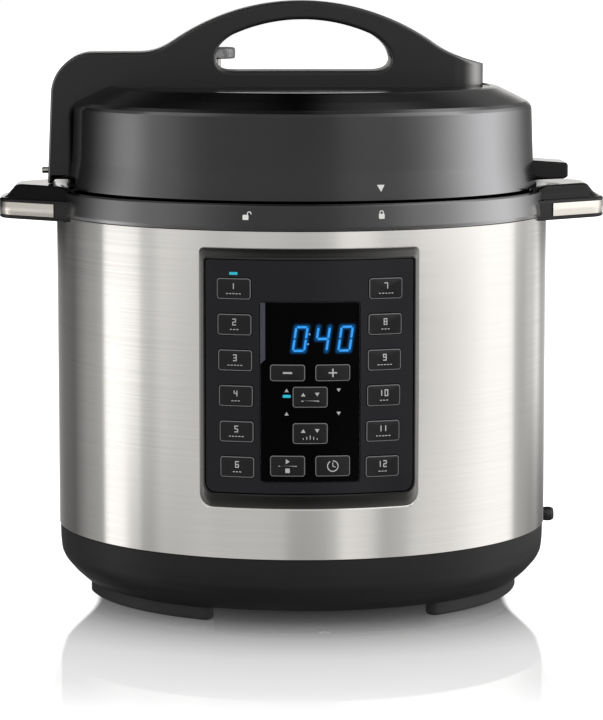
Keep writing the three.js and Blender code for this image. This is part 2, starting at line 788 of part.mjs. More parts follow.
function makePanel() {
  const opening = overlayHalf + play + 0.1;
  const flankTop = opening + 0.7;
  const onWall = wallRadius + 0.5;
  const bezel = hoop([
    panelOutline(onWall, panelHalf, panelZ0, panelZ1, 7.5, 2.5),
    panelOutline(panelRadius - 1.2, flankTop + 2, overlayZ0 - 4, overlayZ1 + 2.4, 6.6, 2.4),
    panelOutline(panelRadius, flankTop, overlayZ0 - 1.1, overlayZ1 + 1.1, 6, 2.2),
    panelOutline(panelRadius, opening, overlayZ0 - play, overlayZ1 + play, 5.2, 1.7),
    panelOutline(onWall, opening, overlayZ0 - play, overlayZ1 + play, 5.2, 1.7),
  ]);
  add("control_bezel", bezel, satinBlack());

  let carrier = bentPlate(carrierBack, carrierFront, overlayHalf, overlayZ0, overlayZ1, 5, 1.5);
  const boardHalf = controlBoardWide / 2;
  const front = -(carrierBack * Math.cos(boardHalf / carrierBack)) + 0.6;
  const back = front + boardThickness;
  for (const x of [-boardHalf + 12, boardHalf - 12]) {
    for (const z of [controlBoardZ0 + 8, controlBoardZ1 - 8]) {
      const root = -Math.sqrt((carrierBack + 1) ** 2 - x ** 2);
      const length = front - seat - root;
      const peg = new THREE.CylinderGeometry(2.5, 2.5, length, 10);
      carrier = carrier.add(toSolid(peg.translate(x, root + length / 2, z)));
    }
  }
  add("panel_carrier", carrier, mattBlack());

  const tall = controlBoardZ1 - controlBoardZ0;
  const part = (x0, x1, z0, z1, height) => {
    const [low, high] = [controlBoardZ0 + z0 * tall, controlBoardZ0 + z1 * tall];
    return box(x0 * boardHalf, x1 * boardHalf, back - 0.6, back + height, low, high);
  };
  const controller = part(-0.45, 0.35, 0.57, 0.73, controlParts);
  const buzzer = part(0.5, 0.85, 0.18, 0.4, controlParts * 0.8);
  const socket = part(-0.85, -0.55, 0.17, 0.46, controlParts * 0.6);
  const board = box(-boardHalf, boardHalf, front, back, controlBoardZ0, controlBoardZ1)
    .add(controller)
    .add(buzzer)
    .add(socket);
  add("control_board", board, circuitGreen());

  const [half, z0, z1] = [overlayHalf - 2, overlayZ0 + 2, overlayZ1 - 2];
  const membrane = bentPlate(membraneBack, membraneFront, half, z0, z1, 3, 1);
  add("switch_membrane", membrane, finish(0x3b3c40, 0.8));

  let overlay = bentPlate(overlayBack, overlayFront, overlayHalf, overlayZ0, overlayZ1, 5, 1.5);
  overlay = overlay.subtract(carried(screenOutline(0), -panelRadius - 2, 0, 3));
  const pane = ring(overlayBack, overlayFront + 0.15, screenZ0 - 1, screenZ1 + 1, panelSegments);
  let screen = pane.intersect(carried(screenOutline(play), -panelRadius - 2, 0, 3));
  for (const place of keyPlaces()) {
    const hole = keyBlock(place, play, overlayBack - 5, panelRadius + 2);
    if (Math.abs(place.turn) > columnBottom - 1) overlay = overlay.subtract(hole);
    else screen = screen.subtract(hole);
    const cap = keyBlock(place, 0, flangeBack + 0.3, keyFront);
    const flange = keyFlange(place);
    add(place.name, cap.add(flange), glossBlack());
  }
  add("control_overlay", overlay, finish(0x232427, 0.35));
  add("display_window", screen, glossBlack());

  const moduleBack = membraneFront + seat;
  const moduleFront = overlayBack - seat;
  const top = screenZ1 - displayInset;
  const module = bentPlate(moduleBack, moduleFront, screenHalf - displayInset, displayZ0, top);
  add("display_module", module, finish(0x0a0f1c, 0.3));
}

// ---------- lid ----------
/** The lid's outer outline from the skirt's edge to the middle of the plate. */
function lidOutline(grow = 0) {
  const r = lidRadius + grow;
  const shoulder = lidShoulderZ + grow;
  return [
    [r + lidFlare, lidBottom],
    [r + lidFlare * 0.6, lidBottom + 6],
    [r + 0.2, lidBottom + 14],
    [r - 0.4, shoulder - lidShoulder * 0.4],
    [r - 1.4, shoulder + lidShoulder * 0.35],
    [r - lidShoulder * 0.85, shoulder + lidShoulder],
    [plateRadius + 4, plateTop - 1 + grow],
    [plateRadius, plateTop + grow],
  ];
}

function makeLidCover() {
  let cover = turned([
    ...lidOutline(),
    [0, plateTop],
    [0, plateUnder],
    [plateRadius - 1, plateUnder],
    [lidRadius - lidShoulder - lidWall, lidShoulderZ + 1.5],
    [lidRadius - lidWall - 0.6, lidShoulderZ - 3],
    [lidRadius - lidWall, lidBottom + 14],
    [lidRadius - lidWall + lidFlare, lidBottom],
  ]);
  const boss = post(0, 0, 9, innerLidTop + seat, plateUnder + 1, 24);
  const [under, over] = [plateUnder - 2, plateTop + 2];
  cover = cover
    .add(boss)
    .subtract(post(0, 0, boltRadius + play, innerLidTop - 1, plateUnder - 4))
    .subtract(post(valveX, valveY, pipeRadius + 1 + play, under, over))
    .subtract(post(floatX, floatY, floatHead + play, under, over));
  for (const x of handleScrewX) {
    cover = cover.subtract(post(x, 0, handleScrewRadius + play, under, over, 12));
  }
  add("lid_cover", cover, satinBlack());
}

/** The space that the closed lid takes up, with a seat's gap, for parts that fit on it. */
function lidSpace() {
  const below = lidBottom - 20;
  return turned([
    [0, below],
    [lidRadius + lidFlare + seat, below],
    ...lidOutline(seat),
    [0, plateTop + seat],
  ]);
}

/** The handle seen from the front: stub, arch, shoulder and the arm down the left side. */
function handleOutline() {
  const centre = archTop - archRadius;
  const archEnd = 70;
  const endAngle = Math.acos(archEnd / archRadius);
  const endZ = centre + archRadius * Math.sin(endAngle);
  const stubTop = plateTop + 13.6;
  const corner = 23;
  const armBottom = humpTop + 2.7;
  const shape = new THREE.Shape();
  shape.moveTo(stubEnd, plateTop - 8);
  shape.lineTo(stubEnd, stubTop);
  shape.bezierCurveTo(
    stubEnd - 14, stubTop + 3.5,
    archEnd + 7, endZ - 5.5,
    archEnd, endZ,
  );
  shape.absarc(0, centre, archRadius, endAngle, Math.PI - endAngle, false);
  shape.bezierCurveTo(-archEnd - 6, endZ - 4, -archEnd - 11, armTop, -archEnd - 20, armTop);
  shape.absarc(-armSide + 2 + corner, armTop - corner, corner, Math.PI / 2, Math.PI, false);
  shape.lineTo(-armSide, armBottom - 2);
  shape.lineTo(-armSide + 2.8, armBottom - 2);
  shape.lineTo(-armSide + 3.8, armBottom);
  shape.lineTo(-lidRadius + 6, armBottom);
  shape.lineTo(-lidRadius + 14, plateTop - 8);
  shape.closePath();
  shape.holes.push(handleWindow());
  return shape;
}

/** The finger opening under the arch. */
function handleWindow() {
  const floor = plateTop + 10;
  const top = archTop - archBar;
  const half = 47;
  const crown = 92;
  const side = 38;
  const angle = Math.acos(side / crown);
  const centre = top - crown;
  const shoulderZ = centre + crown * Math.sin(angle);
  const path = new THREE.Path();
  path.moveTo(side, floor);
  path.quadraticCurveTo(half + 1.5, floor, half + 1.5, floor + 6.5);
  path.bezierCurveTo(half + 1, floor + 12, side + 6, shoulderZ - 3.5, side, shoulderZ);
  path.absarc(0, centre, crown, angle, Math.PI - angle, false);
  path.bezierCurveTo(-side - 6, shoulderZ - 3.5, -half - 1, floor + 12, -half, floor + 6.5);
  path.quadraticCurveTo(-half, floor, -side, floor);
  path.closePath();
  return path;
}

function makeLidHandle() {
  const half = handleWidth / 2;
  const middle = stubEnd - half;
  const plan = new THREE.Shape();
  plan.moveTo(-armSide - 2, -half);
  plan.lineTo(middle, -half);
  plan.absarc(middle, 0, half, -Math.PI / 2, Math.PI / 2, false);
  plan.lineTo(-armSide - 2, half);
  plan.closePath();
  let handle = carried(handleOutline(), -half, half, 8)
    .intersect(raised(plan, lidBottom - 10, archTop + 5, null, 8))
    .subtract(lidSpace());
  const pegZ = lidBottom + 7.2;
  handle = handle.add(crossRod(0, pegZ, pegRadius, -armSide - pegReach, -armSide + 2, 10));
  for (const x of handleScrewX) {
    const hole = post(x, 0, handleScrewRadius + play, plateTop - 1, plateTop + 9, 12);
    handle = handle.subtract(hole);
  }
  add("lid_handle", handle, satinBlack());
  handleScrewX.forEach((x, i) => {
    const head = plateUnder - seat;
    const headRadius = handleScrewRadius * 2;
    const screw = turnedAt(x, 0, [
      [0, head - 2],
      [headRadius - 0.4, head - 2],
      [headRadius, head],
      [handleScrewRadius, head],
      [handleScrewRadius, plateTop + 7.5],
      [0, plateTop + 8],
    ], 12);
    add(`handle_screw_${i + 1}`, screw, plainSteel());
  });
}

/** The grip tab on the lid's right side. */
function makeLidTab() {
  const tabRoot = lidRadius - 3;
  const tabTip = lidRadius + tabReach;
  const tabBottom = lidBottom + 2;
  const side = new THREE.Shape();
  side.moveTo(tabRoot, tabBottom);
  side.lineTo(tabTip - 2, tabBottom + 0.8);
  side.lineTo(tabTip, tabBottom + 2);
  side.lineTo(tabTip, tabBottom + 8.7);
  side.lineTo(tabTip - 1, tabBottom + 9.5);
  side.lineTo(tabRoot, tabBottom + 11.1);
  side.closePath();
  const tab = carried(side, -tabWidth / 2, tabWidth / 2).subtract(lidSpace());
  add("lid_tab", tab, glossBlack());
}

function makeInnerLid() {
  const flange = sealTop + seat;
  let lid = turned([
    [0, innerLidTop - sheet],
    [innerLidFlat, innerLidTop - sheet],
    [sealInner, flange],
    [skirtInner, flange],
    [skirtInner, lidLugBottom],
    [skirtOuter, lidLugBottom],
    [skirtOuter, flange + sheet],
    [sealInner + sheet / 2, flange + sheet],
    [innerLidFlat + sheet / 2, innerLidTop],
    [0, innerLidTop],
  ]);
  for (let i = 0; i < lugCount; i++) {
    const middle = (i * 360) / lugCount;
    const lug = sector(
      lidLugInner,
      skirtInner + 0.6,
      middle - lugArc / 2,
      middle + lugArc / 2,
      lidLugBottom,
      lidLugBottom + lugThickness,
      4,
    );
    lid = lid.add(lug);
  }
  lid = lid
    .subtract(post(0, 0, boltRadius + play, innerLidTop - 4, innerLidTop + 2))
    .subtract(post(valveX, valveY, pipeRadius + play, innerLidTop - 4, innerLidTop + 2))
    .subtract(post(floatX, floatY, floatRadius + play, innerLidTop - 4, innerLidTop + 2));
  add("inner_lid", lid, plainSteel());

  const under = innerLidTop - sheet - seat;
  const bolt = turned([
    [0, under - 4],
    [5, under - 4],
    [6, under - 3],
    [6, under],
    [boltRadius, under],
    [boltRadius, plateUnder - 6],
    [0, plateUnder - 5],
  ], 16);
  add("inner_lid_bolt", bolt, plainSteel());
}

/** The silicone ring between the pot's rim and the inner lid, and the wire rack that holds it. */
function makeSeal() {
  const ringSeal = turned([
    [sealInner, potTop + 4],
    [sealInner + 2, potTop + seat],
    [rimRadius - 0.6, potTop + seat],
    [rimRadius, potTop + 2],
    [rimRadius, sealTop],
    [sealInner, sealTop],
  ]);
  add("sealing_ring", ringSeal, silicone());

  const rackRadius = sealInner - rackWire - seat - play;
  const rackZ = potTop + 7;
  const hoopWire = new THREE.TorusGeometry(rackRadius, rackWire, 5, roundSegments);
  let rack = toSolid(hoopWire.translate(0, 0, rackZ));
  const slope = (innerLidTop - sheet - sealTop - seat) / (sealInner - innerLidFlat);
  const legTop = sealTop + (sealInner - rackRadius - rackWire) * slope;
  for (const turn of [20, 110, 200, 290]) {
    const x = (rackRadius - 0.4) * Math.cos(turn * degree);
    const y = (rackRadius - 0.4) * Math.sin(turn * degree);
    rack = rack.add(post(x, y, rackWire, rackZ, legTop, 8));
  }
  add("gasket_rack", rack, plainSteel());
}

// ---------- valves ----------
function makeValves() {
  const pipeBottom = innerLidTop - sheet - 8;
  const flangeTop = innerLidTop - sheet - seat;
  const pipeTop = plateTop + 2;
  const pipe = turnedAt(valveX, valveY, [
    [pipeBore, pipeBottom],
    [pipeRadius, pipeBottom],
    [pipeRadius, flangeTop - 2],
    [pipeRadius + 3, flangeTop - 2],
    [pipeRadius + 3, flangeTop],
    [pipeRadius, flangeTop],
    [pipeRadius, pipeTop],
    [pipeBore, pipeTop],
  ]);
  add("steam_pipe", pipe, plainSteel());

  const stemBottom = pipeTop + seat;
  const stemTop = plateTop + stemHeight;
  const pivot = stemRadius * 0.55;
  const pivotTop = stemTop + knobHeight - 2.4;
  const stem = turnedAt(valveX, valveY, [
    [0, stemBottom],
    [stemRadius, stemBottom],
    [stemRadius, stemTop],
    [pivot, stemTop],
    [pivot, pivotTop],
    [0, pivotTop],
  ], 16);
  add("steam_valve_stem", stem, plainSteel());
  const knobBottom = stemTop + seat;
  const knob = turnedAt(valveX, valveY, [
    [pivot + play, knobBottom],
    [knobRadius, knobBottom],
    [knobRadius, knobBottom + knobHeight - 1],
    [knobRadius - 1, knobBottom + knobHeight],
    [0, knobBottom + knobHeight],
    [0, pivotTop + seat + play],
    [pivot + play, pivotTop + seat + play],
  ], 24);
  add("steam_valve_knob", knob, finish(0x6f7073, 0.35, 0.6));

  const shieldInner = shieldRadius - 1.6;
  const shieldBottom = pipeBottom - 4;
  let shield = turnedAt(valveX, valveY, [
    [shieldRadius - 1, shieldBottom],
    [shieldRadius, shieldBottom + 1],
    [shieldRadius, flangeTop],
    [shieldInner, flangeTop],
    [shieldInner, shieldBottom + 1.6],
    [0, shieldBottom + 1.6],
    [0, shieldBottom],
  ], 18);
  for (const turn of [0, 60, 120]) {
    const slot = box(-12, 12, -1.2, 1.2, pipeBottom - 1, flangeTop - 3).rotate([0, 0, turn]);
    shield = shield.subtract(slot.translate([valveX, valveY, 0]));
  }
  add("valve_shield", shield, plainSteel());

  const collar = innerLidTop - sheet - seat - floatTravel;
  const rest = innerLidTop + seat;
  const pin = turnedAt(floatX, floatY, [
    [0, collar - 2],
    [5, collar - 2],
    [5, collar],
    [floatRadius, collar],
    [floatRadius, rest],
    [4.2, rest],
    [4.2, rest + 1.5],
    [floatRadius, rest + 1.5],
    [floatRadius, plateTop - 3],
    [floatHead, plateTop - 2],
    [floatHead, plateTop + 0.3],
    [0, plateTop + 0.3],
  ], 16);
  add("float_valve", pin, finish(0xb02a20, 0.4));
}

// ---------- condensate collector ----------
function makeCollector() {
  const half = collectorArc / 2;
  const holderTop = ringBottom - seat;
  const holderFront = wallRadius + seat;
  const [start, end] = [90 - half + 3, 90 + half - 3];
  const [plateBack, plateBottom] = [holderFront + holderThickness, holderTop - holderHeight];
  const backPlate = sector(holderFront, plateBack, start, end, plateBottom, holderTop);
  const railBottom = holderTop - holderThickness;
  const rail = sector(holderFront, holderFront + railDepth, 86, 94, railBottom, holderTop);
  add("collector_holder", backPlate.add(rail), mattBlack());
  const mouth = railBottom - play;
  const floor = mouth - collectorHeight;
  const outer = sector(collectorInner, rearReach, 90 - half, 90 + half, floor, mouth);
  const hollow = sector(
    collectorInner + collectorWall,
    rearReach - collectorWall,
    90 - half + 1,
    90 + half - 1,
    floor + collectorWall,
    mouth + 1,
  );
  add("condensate_collector", outer.subtract(hollow), finish(0x3a3b3e, 0.25));
}

makeBase();
makePowerBoard();
makeGland();
makeWall();
makeRing();
makeWell();
makeHeater();
makeSensor();
makePot();
makeSideHandles();
makePanel();
makeLidCover();
makeLidHandle();
makeLidTab();
makeInnerLid();
makeSeal();
makeValves();
makeCollector();

// The origin is the middle of the footprint, on the surface that the feet stand on.
cooker.position.y = (frontReach - rearReach) / 2;

export default cooker;
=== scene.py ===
"""An electric pressure cooker on a plain white floor.

Every piece is built as a mesh in metres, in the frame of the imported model, with the control panel towards -Y.
"""

import json
import math

import bmesh
import bpy
import numpy as np
from bpy.props import FloatProperty, FloatVectorProperty
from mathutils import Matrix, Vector
from mathutils.geometry import tessellate_polygon

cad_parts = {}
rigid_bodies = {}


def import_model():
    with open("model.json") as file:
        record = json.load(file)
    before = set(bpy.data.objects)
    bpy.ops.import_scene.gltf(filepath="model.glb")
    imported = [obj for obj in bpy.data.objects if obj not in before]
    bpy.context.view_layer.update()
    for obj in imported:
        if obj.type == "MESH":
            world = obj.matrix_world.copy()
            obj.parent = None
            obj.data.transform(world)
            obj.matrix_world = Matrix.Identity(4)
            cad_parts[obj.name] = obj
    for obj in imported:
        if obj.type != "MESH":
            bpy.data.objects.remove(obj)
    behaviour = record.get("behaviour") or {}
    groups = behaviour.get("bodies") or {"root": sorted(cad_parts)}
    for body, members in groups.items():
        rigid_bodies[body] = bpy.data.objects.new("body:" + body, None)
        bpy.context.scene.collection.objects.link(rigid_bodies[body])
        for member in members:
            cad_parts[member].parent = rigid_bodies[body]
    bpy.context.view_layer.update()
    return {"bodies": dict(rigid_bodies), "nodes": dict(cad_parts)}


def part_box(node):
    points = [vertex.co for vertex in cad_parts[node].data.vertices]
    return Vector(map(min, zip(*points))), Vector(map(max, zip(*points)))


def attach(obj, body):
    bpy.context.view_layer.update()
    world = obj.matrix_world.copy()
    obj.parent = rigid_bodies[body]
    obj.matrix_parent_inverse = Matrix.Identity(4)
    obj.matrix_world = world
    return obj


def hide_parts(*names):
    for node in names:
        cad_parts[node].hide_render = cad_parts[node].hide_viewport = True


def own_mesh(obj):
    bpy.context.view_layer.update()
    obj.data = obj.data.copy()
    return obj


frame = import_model()

bl_info = {
    "name": "Pressure cooker",
    "version": (1, 0, 0),
    "blender": (4, 5, 0),
    "location": "View3D > Sidebar > Cooker",
    "description": "Builds an electric pressure cooker around its packed frame",
    "category": "Object",
}

MM = 0.001


# ---------- places and sizes that come from the frame ----------
def low(node):
    """The lowest corner of a node."""
    return np.array(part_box(node)[0])


def high(node):
    """The highest corner of a node."""
    return np.array(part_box(node)[1])


AXIS_Y = (low("steel_wall")[1] + high("steel_wall")[1]) / 2
SEAT = 0.3 * MM
PLAY = 0.4 * MM
SHEET = 1.2 * MM
DOUBLES = 1e-6
RELIEF_DEPTH = 0.05 * MM
BLACK, WHITE = (0.0, 0.0, 0.0, 1.0), (1.0, 1.0, 1.0, 1.0)

WALL_R = high("steel_wall")[0]
WALL_Z0, WALL_Z1 = low("steel_wall")[2], high("steel_wall")[2]
BASE_Z0 = low("base_shell")[2]
FOOT_TOP = high("foot_front_left")[2]
RING_R = high("top_ring")[0]
RING_Z0 = WALL_Z1 + SEAT
POT_R = high("cooking_pot")[0]
POT_Z0, POT_Z1 = low("cooking_pot")[2], high("cooking_pot")[2]
WELL_Z1 = high("steel_well")[2]
LUG_R = high("steel_well")[0]
INNER_Z0, INNER_Z1 = low("inner_lid")[2], high("inner_lid")[2]
PANEL_R = AXIS_Y - low("control_bezel")[1]
PANEL_Z0, PANEL_Z1 = low("control_bezel")[2], high("control_bezel")[2]
OVERLAY_Z0, OVERLAY_Z1 = low("control_overlay")[2], high("control_overlay")[2]
OVERLAY_R = AXIS_Y - low("control_overlay")[1]
SCREEN_Z0, SCREEN_Z1 = low("display_window")[2], high("display_window")[2]
SCREEN_R = AXIS_Y - low("display_window")[1]
OVERLAY_HALF = PANEL_R * math.asin(high("control_overlay")[0] / OVERLAY_R)
PANEL_HALF = PANEL_R * math.asin(high("control_bezel")[0] / (WALL_R + 0.5 * MM))
SCREEN_HALF = PANEL_R * math.asin(high("display_window")[0] / SCREEN_R)


# ---------- outlines: arrays of [a, b] points ----------
def rounded(corners, radius, steps=6):
    """A closed outline with its corners rounded. Each arc touches both sides at radius over the tangent of half the
    corner's angle, and its points are the arc's centre plus the radius turned in equal steps."""
    p = np.array(corners, float)
    r = np.broadcast_to(np.asarray(radius, float), len(p))
    back, on = np.roll(p, 1, 0) - p, np.roll(p, -1, 0) - p
    back_length, on_length = np.linalg.norm(back, axis=1), np.linalg.norm(on, axis=1)
    back, on = back / back_length[:, None], on / on_length[:, None]
    half = np.arccos(np.clip((back * on).sum(1), -0.999999, 0.999999)) / 2
    cut = np.minimum(r / np.tan(half), 0.49 * np.minimum(back_length, on_length))
    r = cut * np.tan(half)
    inward = (back + on) / np.linalg.norm(back + on, axis=1)[:, None]
    centre = p + inward * (r / np.sin(half))[:, None]
    first = np.arctan2(*((p + back * cut[:, None] - centre).T[::-1]))
    last = np.arctan2(*((p + on * cut[:, None] - centre).T[::-1]))
    sweep = (last - first + np.pi) % (2 * np.pi) - np.pi
    angle = first[:, None] + sweep[:, None] * np.linspace(0, 1, steps + 1)
    arcs = centre[:, None] + r[:, None, None] * np.stack([np.cos(angle), np.sin(angle)], -1)
    return distinct(arcs.reshape(-1, 2))


def distinct(outline):
    """The outline without points that repeat the one before."""
    gap = np.linalg.norm(outline - np.roll(outline, 1, 0), axis=1)
    return outline[gap > 1e-7]


def dense(outline, longest):
    """The same closed outline with points added, evenly along each side, until no side is over the longest."""
    step = np.roll(outline, -1, 0) - outline
    count = np.maximum(1, np.ceil(np.linalg.norm(step, axis=1) / longest)).astype(int)
    place = np.arange(count.sum()) - np.repeat(np.cumsum(count) - count, count)
    share = place / np.repeat(count, count)
    return np.repeat(outline, count, 0) + np.repeat(step, count, 0) * share[:, None]


def box_outline(x0, x1, y0, y1, radius, steps=6):
    """A rectangle with rounded corners."""
    return rounded([[x0, y0], [x1, y0], [x1, y1], [x0, y1]], radius, steps)


def circle_outline(x, y, radius, steps=32):
    """A circle: its centre plus the radius turned in equal steps."""
    angle = np.linspace(0, 2 * np.pi, steps, endpoint=False)
    return np.stack([x + radius * np.cos(angle), y + radius * np.sin(angle)], 1)


def sector_outline(inner, outer, start, end, radius, steps=40):
    """Part of a flat ring round the vertical axis between two azimuths in degrees, with rounded corners. It is a
    rounded rectangle of arc length against radius, wrapped round the axis."""
    span = math.radians(end - start) * outer
    flat = dense(box_outline(0, span, inner, outer, radius), span / steps)
    angle = math.radians(start) + flat[:, 0] / outer
    return np.stack([flat[:, 1] * np.cos(angle), AXIS_Y + flat[:, 1] * np.sin(angle)], 1)[::-1]


def arc_points(centre, radius, start, end, steps):
    """Points on an arc, from one angle to another in degrees."""
    angle = np.radians(np.linspace(start, end, steps))
    return np.stack([centre[0] + radius * np.cos(angle), centre[1] + radius * np.sin(angle)], 1)


def bezier_points(a, b, c, d, steps=10):
    """Points on a cubic Bezier curve from a to d, without its first one."""
    t = np.linspace(0, 1, steps + 1)[1:, None]
    a, b, c, d = (np.array(p, float) for p in (a, b, c, d))
    return (1 - t) ** 3 * a + 3 * (1 - t) ** 2 * t * b + 3 * (1 - t) * t * t * c + t**3 * d


def edge_section(bottom, top, lower, upper, steps=4):
    """A plate's section as [inset, level]: up a side with quarter rounds at both edges, and a short step on to each
    flat, so that the shading of the rounds stays off it."""
    step_in = 0.4 * MM
    turn = np.linspace(0, np.pi / 2, steps + 1)
    rise = np.stack([lower * (1 - np.sin(turn)), bottom + lower * (1 - np.cos(turn))], 1)
    fall = np.stack([upper * (1 - np.cos(turn)), top - upper * (1 - np.sin(turn))], 1)
    return np.concatenate([[[lower + step_in, bottom]], rise, fall, [[upper + step_in, top]]])


# ---------- meshes ----------
def grid_faces(rows, columns, first=0, wrap_rows=False):
    """Quads of a grid whose columns close on themselves; its rows may close too."""
    row = np.arange(rows if wrap_rows else rows - 1)[:, None]
    column = np.arange(columns)[None]
    after, right = (row + 1) % rows, (column + 1) % columns
    corners = [row * columns + column, row * columns + right, after * columns + right, after * columns + column]
    return np.stack(np.broadcast_arrays(*corners), -1).reshape(-1, 4) + first


def build(name, points, faces, cuts=(), bend=None, sharp=40):
    """A mesh from points and faces. It is cut by planes, given as [axis, place], so that it can bend; its doubles are
    merged, its faces turned outwards, and only edges over the sharp angle stay hard."""
    mesh = bpy.data.meshes.new(name)
    mesh.from_pydata(points.tolist(), [], [list(f) for f in faces])
    work = bmesh.new()
    work.from_mesh(mesh)
    bmesh.ops.remove_doubles(work, verts=work.verts, dist=DOUBLES)
    for axis, place in cuts:
        normal = Vector((axis == 0, axis == 1, axis == 2))
        everything = work.verts[:] + work.edges[:] + work.faces[:]
        bmesh.ops.bisect_plane(work, geom=everything, plane_co=normal * place, plane_no=normal)
    if bend:
        work.to_mesh(mesh)
        mesh.vertices.foreach_set("co", bend(vertex_places(mesh)).ravel())
        work.clear()
        work.from_mesh(mesh)
        bmesh.ops.remove_doubles(work, verts=work.verts, dist=DOUBLES)
    bmesh.ops.recalc_face_normals(work, faces=work.faces)
    return smoothed(work, mesh, sharp)


def smoothed(work, mesh, sharp=40):
    """Writes the worked faces to the mesh, and leaves only edges over the sharp angle hard."""
    work.to_mesh(mesh)
    work.free()
    mesh.shade_smooth()
    mesh.set_sharp_from_angle(angle=math.radians(sharp))
    return mesh


def turned(name, profile, centre=(0.0, AXIS_Y), steps=192, along_x=False):
    """A solid of revolution: each [radius, height] point of a closed profile is turned round the axis, so a point is
    the axis plus the radius turned by its angle. Along X the height runs along that axis instead."""
    angle = np.linspace(0, 2 * np.pi, steps, endpoint=False)
    r, h = profile[:, 0, None], np.broadcast_to(profile[:, 1, None], (len(profile), steps))
    a, b = r * np.cos(angle) + centre[0], r * np.sin(angle) + centre[1]
    points = np.stack([h, a, b] if along_x else [a, b, h], -1)
    return build(name, points.reshape(-1, 3), grid_faces(len(profile), steps, wrap_rows=True))


def signed_area(outline):
    """The shoelace sum, which is positive for an outline that runs counter-clockwise."""
    a, b = outline.T
    return 0.5 * float((a * np.roll(b, -1) - np.roll(a, -1) * b).sum())


def inward_normals(outline):
    """Unit normals that point into a counter-clockwise outline: the mean of both sides' directions, turned left."""
    on = np.roll(outline, -1, 0) - outline
    on /= np.linalg.norm(on, axis=1)[:, None]
    mean = on + np.roll(on, 1, 0)
    mean /= np.linalg.norm(mean, axis=1)[:, None]
    stretch = 1 / np.clip((mean * on).sum(1), 0.5, 1)
    return np.stack([-mean[:, 1], mean[:, 0]], 1) * stretch[:, None]


def plate(name, outlines, section, place=None, cuts=(), sharp=40):
    """A solid plate. The section of [inset, level] points is carried round each outline, the first one being the rim
    and the others holes, and both ends are filled. place turns [a, b, level] points into [x, y, z]; without it they
    are a plan with heights."""
    section = np.array(section, float)
    points, faces, ends, first = [], [], ([], []), 0
    for number, outline in enumerate(outlines):
        ring = outline if signed_area(outline) > 0 else outline[::-1]
        inward = inward_normals(ring) * (1 if number == 0 else -1)
        rows = ring[None] + inward[None] * section[:, 0, None, None]
        level = np.broadcast_to(section[:, 1, None, None], rows.shape[:2] + (1,))
        points.append(np.concatenate([rows, level], 2).reshape(-1, 3))
        faces += grid_faces(len(section), len(ring), first).tolist()
        for end, row in zip(ends, (0, len(section) - 1)):
            end.append(np.arange(len(ring)) + first + row * len(ring))
        first += len(section) * len(ring)
    points = np.concatenate(points)
    for rings in ends:
        loops = [[Vector((*points[i][:2], 0)) for i in ring] for ring in rings]
        faces += np.concatenate(rings)[np.array(tessellate_polygon(loops))].tolist()
    return build(name, points, faces, cuts, place, sharp)


def wrapped(radius, turn=0.0, z=0.0):
    """A place function that lays [arc, height] on a cylinder round the axis, seen from the front, about a turn in
    degrees and a height: the angle is the arc over the panel's radius plus the turn, and the level is added to the
    radius."""

    def place(points):
        angle = points[:, 0] / PANEL_R + math.radians(turn)
        r = radius + points[:, 2]
        return np.stack([r * np.sin(angle), AXIS_Y - r * np.cos(angle), points[:, 1] + z], 1)

    return place


def across(axis, start, end, step):
    """Evenly spaced cuts along an axis."""
    count = max(2, math.ceil((end - start) / step) + 1)
    return [(axis, float(place)) for place in np.linspace(start, end, count)[1:-1]]


def piece(mesh, coat, body, slot, *replaced):
    """An object for a finished mesh, which rides on its body and stands for the nodes that it replaces."""
    thing = bpy.data.objects.new(mesh.name, mesh)
    bpy.context.scene.collection.objects.link(thing)
    mesh.materials.append(finish(coat))
    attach(thing, body)
    if replaced:
        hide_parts(*replaced)
    return thing


def turned_piece(name, points, corners, steps, *where, **settings):
    """A piece turned round the axis from a section in millimetres. Its corners are rounded by radii in millimetres, or
    left sharp where these are None; where is the piece's finish, body, slot, which is not used, and node."""
    section = mm(*points) if corners is None else soft(points, corners)
    return piece(turned(name, section, steps=steps, **settings), *where)


def vertex_places(mesh):
    """All vertex coordinates as an array."""
    co = np.zeros(len(mesh.vertices) * 3)
    mesh.vertices.foreach_get("co", co)
    return co.reshape(-1, 3)


def round_uv(mesh):
    """Lays a UV map round the axis: u is the arc length at the wall and v the height, both in metres. The seam is at
    the back, where a face's corners are kept on one side."""
    co = vertex_places(mesh)
    corner = np.zeros(len(mesh.loops), int)
    mesh.loops.foreach_get("vertex_index", corner)
    starts, totals = np.zeros((2, len(mesh.polygons)), int)
    mesh.polygons.foreach_get("loop_start", starts)
    mesh.polygons.foreach_get("loop_total", totals)
    angle = np.arctan2(co[:, 0], AXIS_Y - co[:, 1])[corner]
    lead = np.repeat(angle[starts], totals)
    angle = np.where(angle - lead > np.pi, angle - 2 * np.pi, angle)
    angle = np.where(angle - lead < -np.pi, angle + 2 * np.pi, angle)
    uv = np.stack([angle * WALL_R, co[corner, 2]], 1)
    mesh.uv_layers.new(name="UVMap").data.foreach_set("uv", uv.astype(np.float32).ravel())


def joined(name, meshes):
    """One mesh out of several."""
    work = bmesh.new()
    for mesh in meshes:
        work.from_mesh(mesh)
    return smoothed(work, bpy.data.meshes.new(name))


# ---------- shader parts ----------
def add(tree, kind, sockets=None, **settings):
    """Adds a node. Each socket's value is a number, a colour or another node's output, which is linked."""
    node = tree.nodes.new(kind)
    for key, value in settings.items():
        setattr(node, key, value)
    for key, value in (sockets or {}).items():
        if isinstance(value, bpy.types.NodeSocket):
            tree.links.new(value, node.inputs[key])
        else:
            node.inputs[key].default_value = value
    return node


def calc(tree, operation, a, b=0.0, c=0.0):
    """One Math node's result."""
    return add(tree, "ShaderNodeMath", {0: a, 1: b, 2: c}, operation=operation).outputs[0]


def product(tree, first, *others):
    """The product of several values."""
    for other in others:
        first = calc(tree, "MULTIPLY", first, other)
    return first


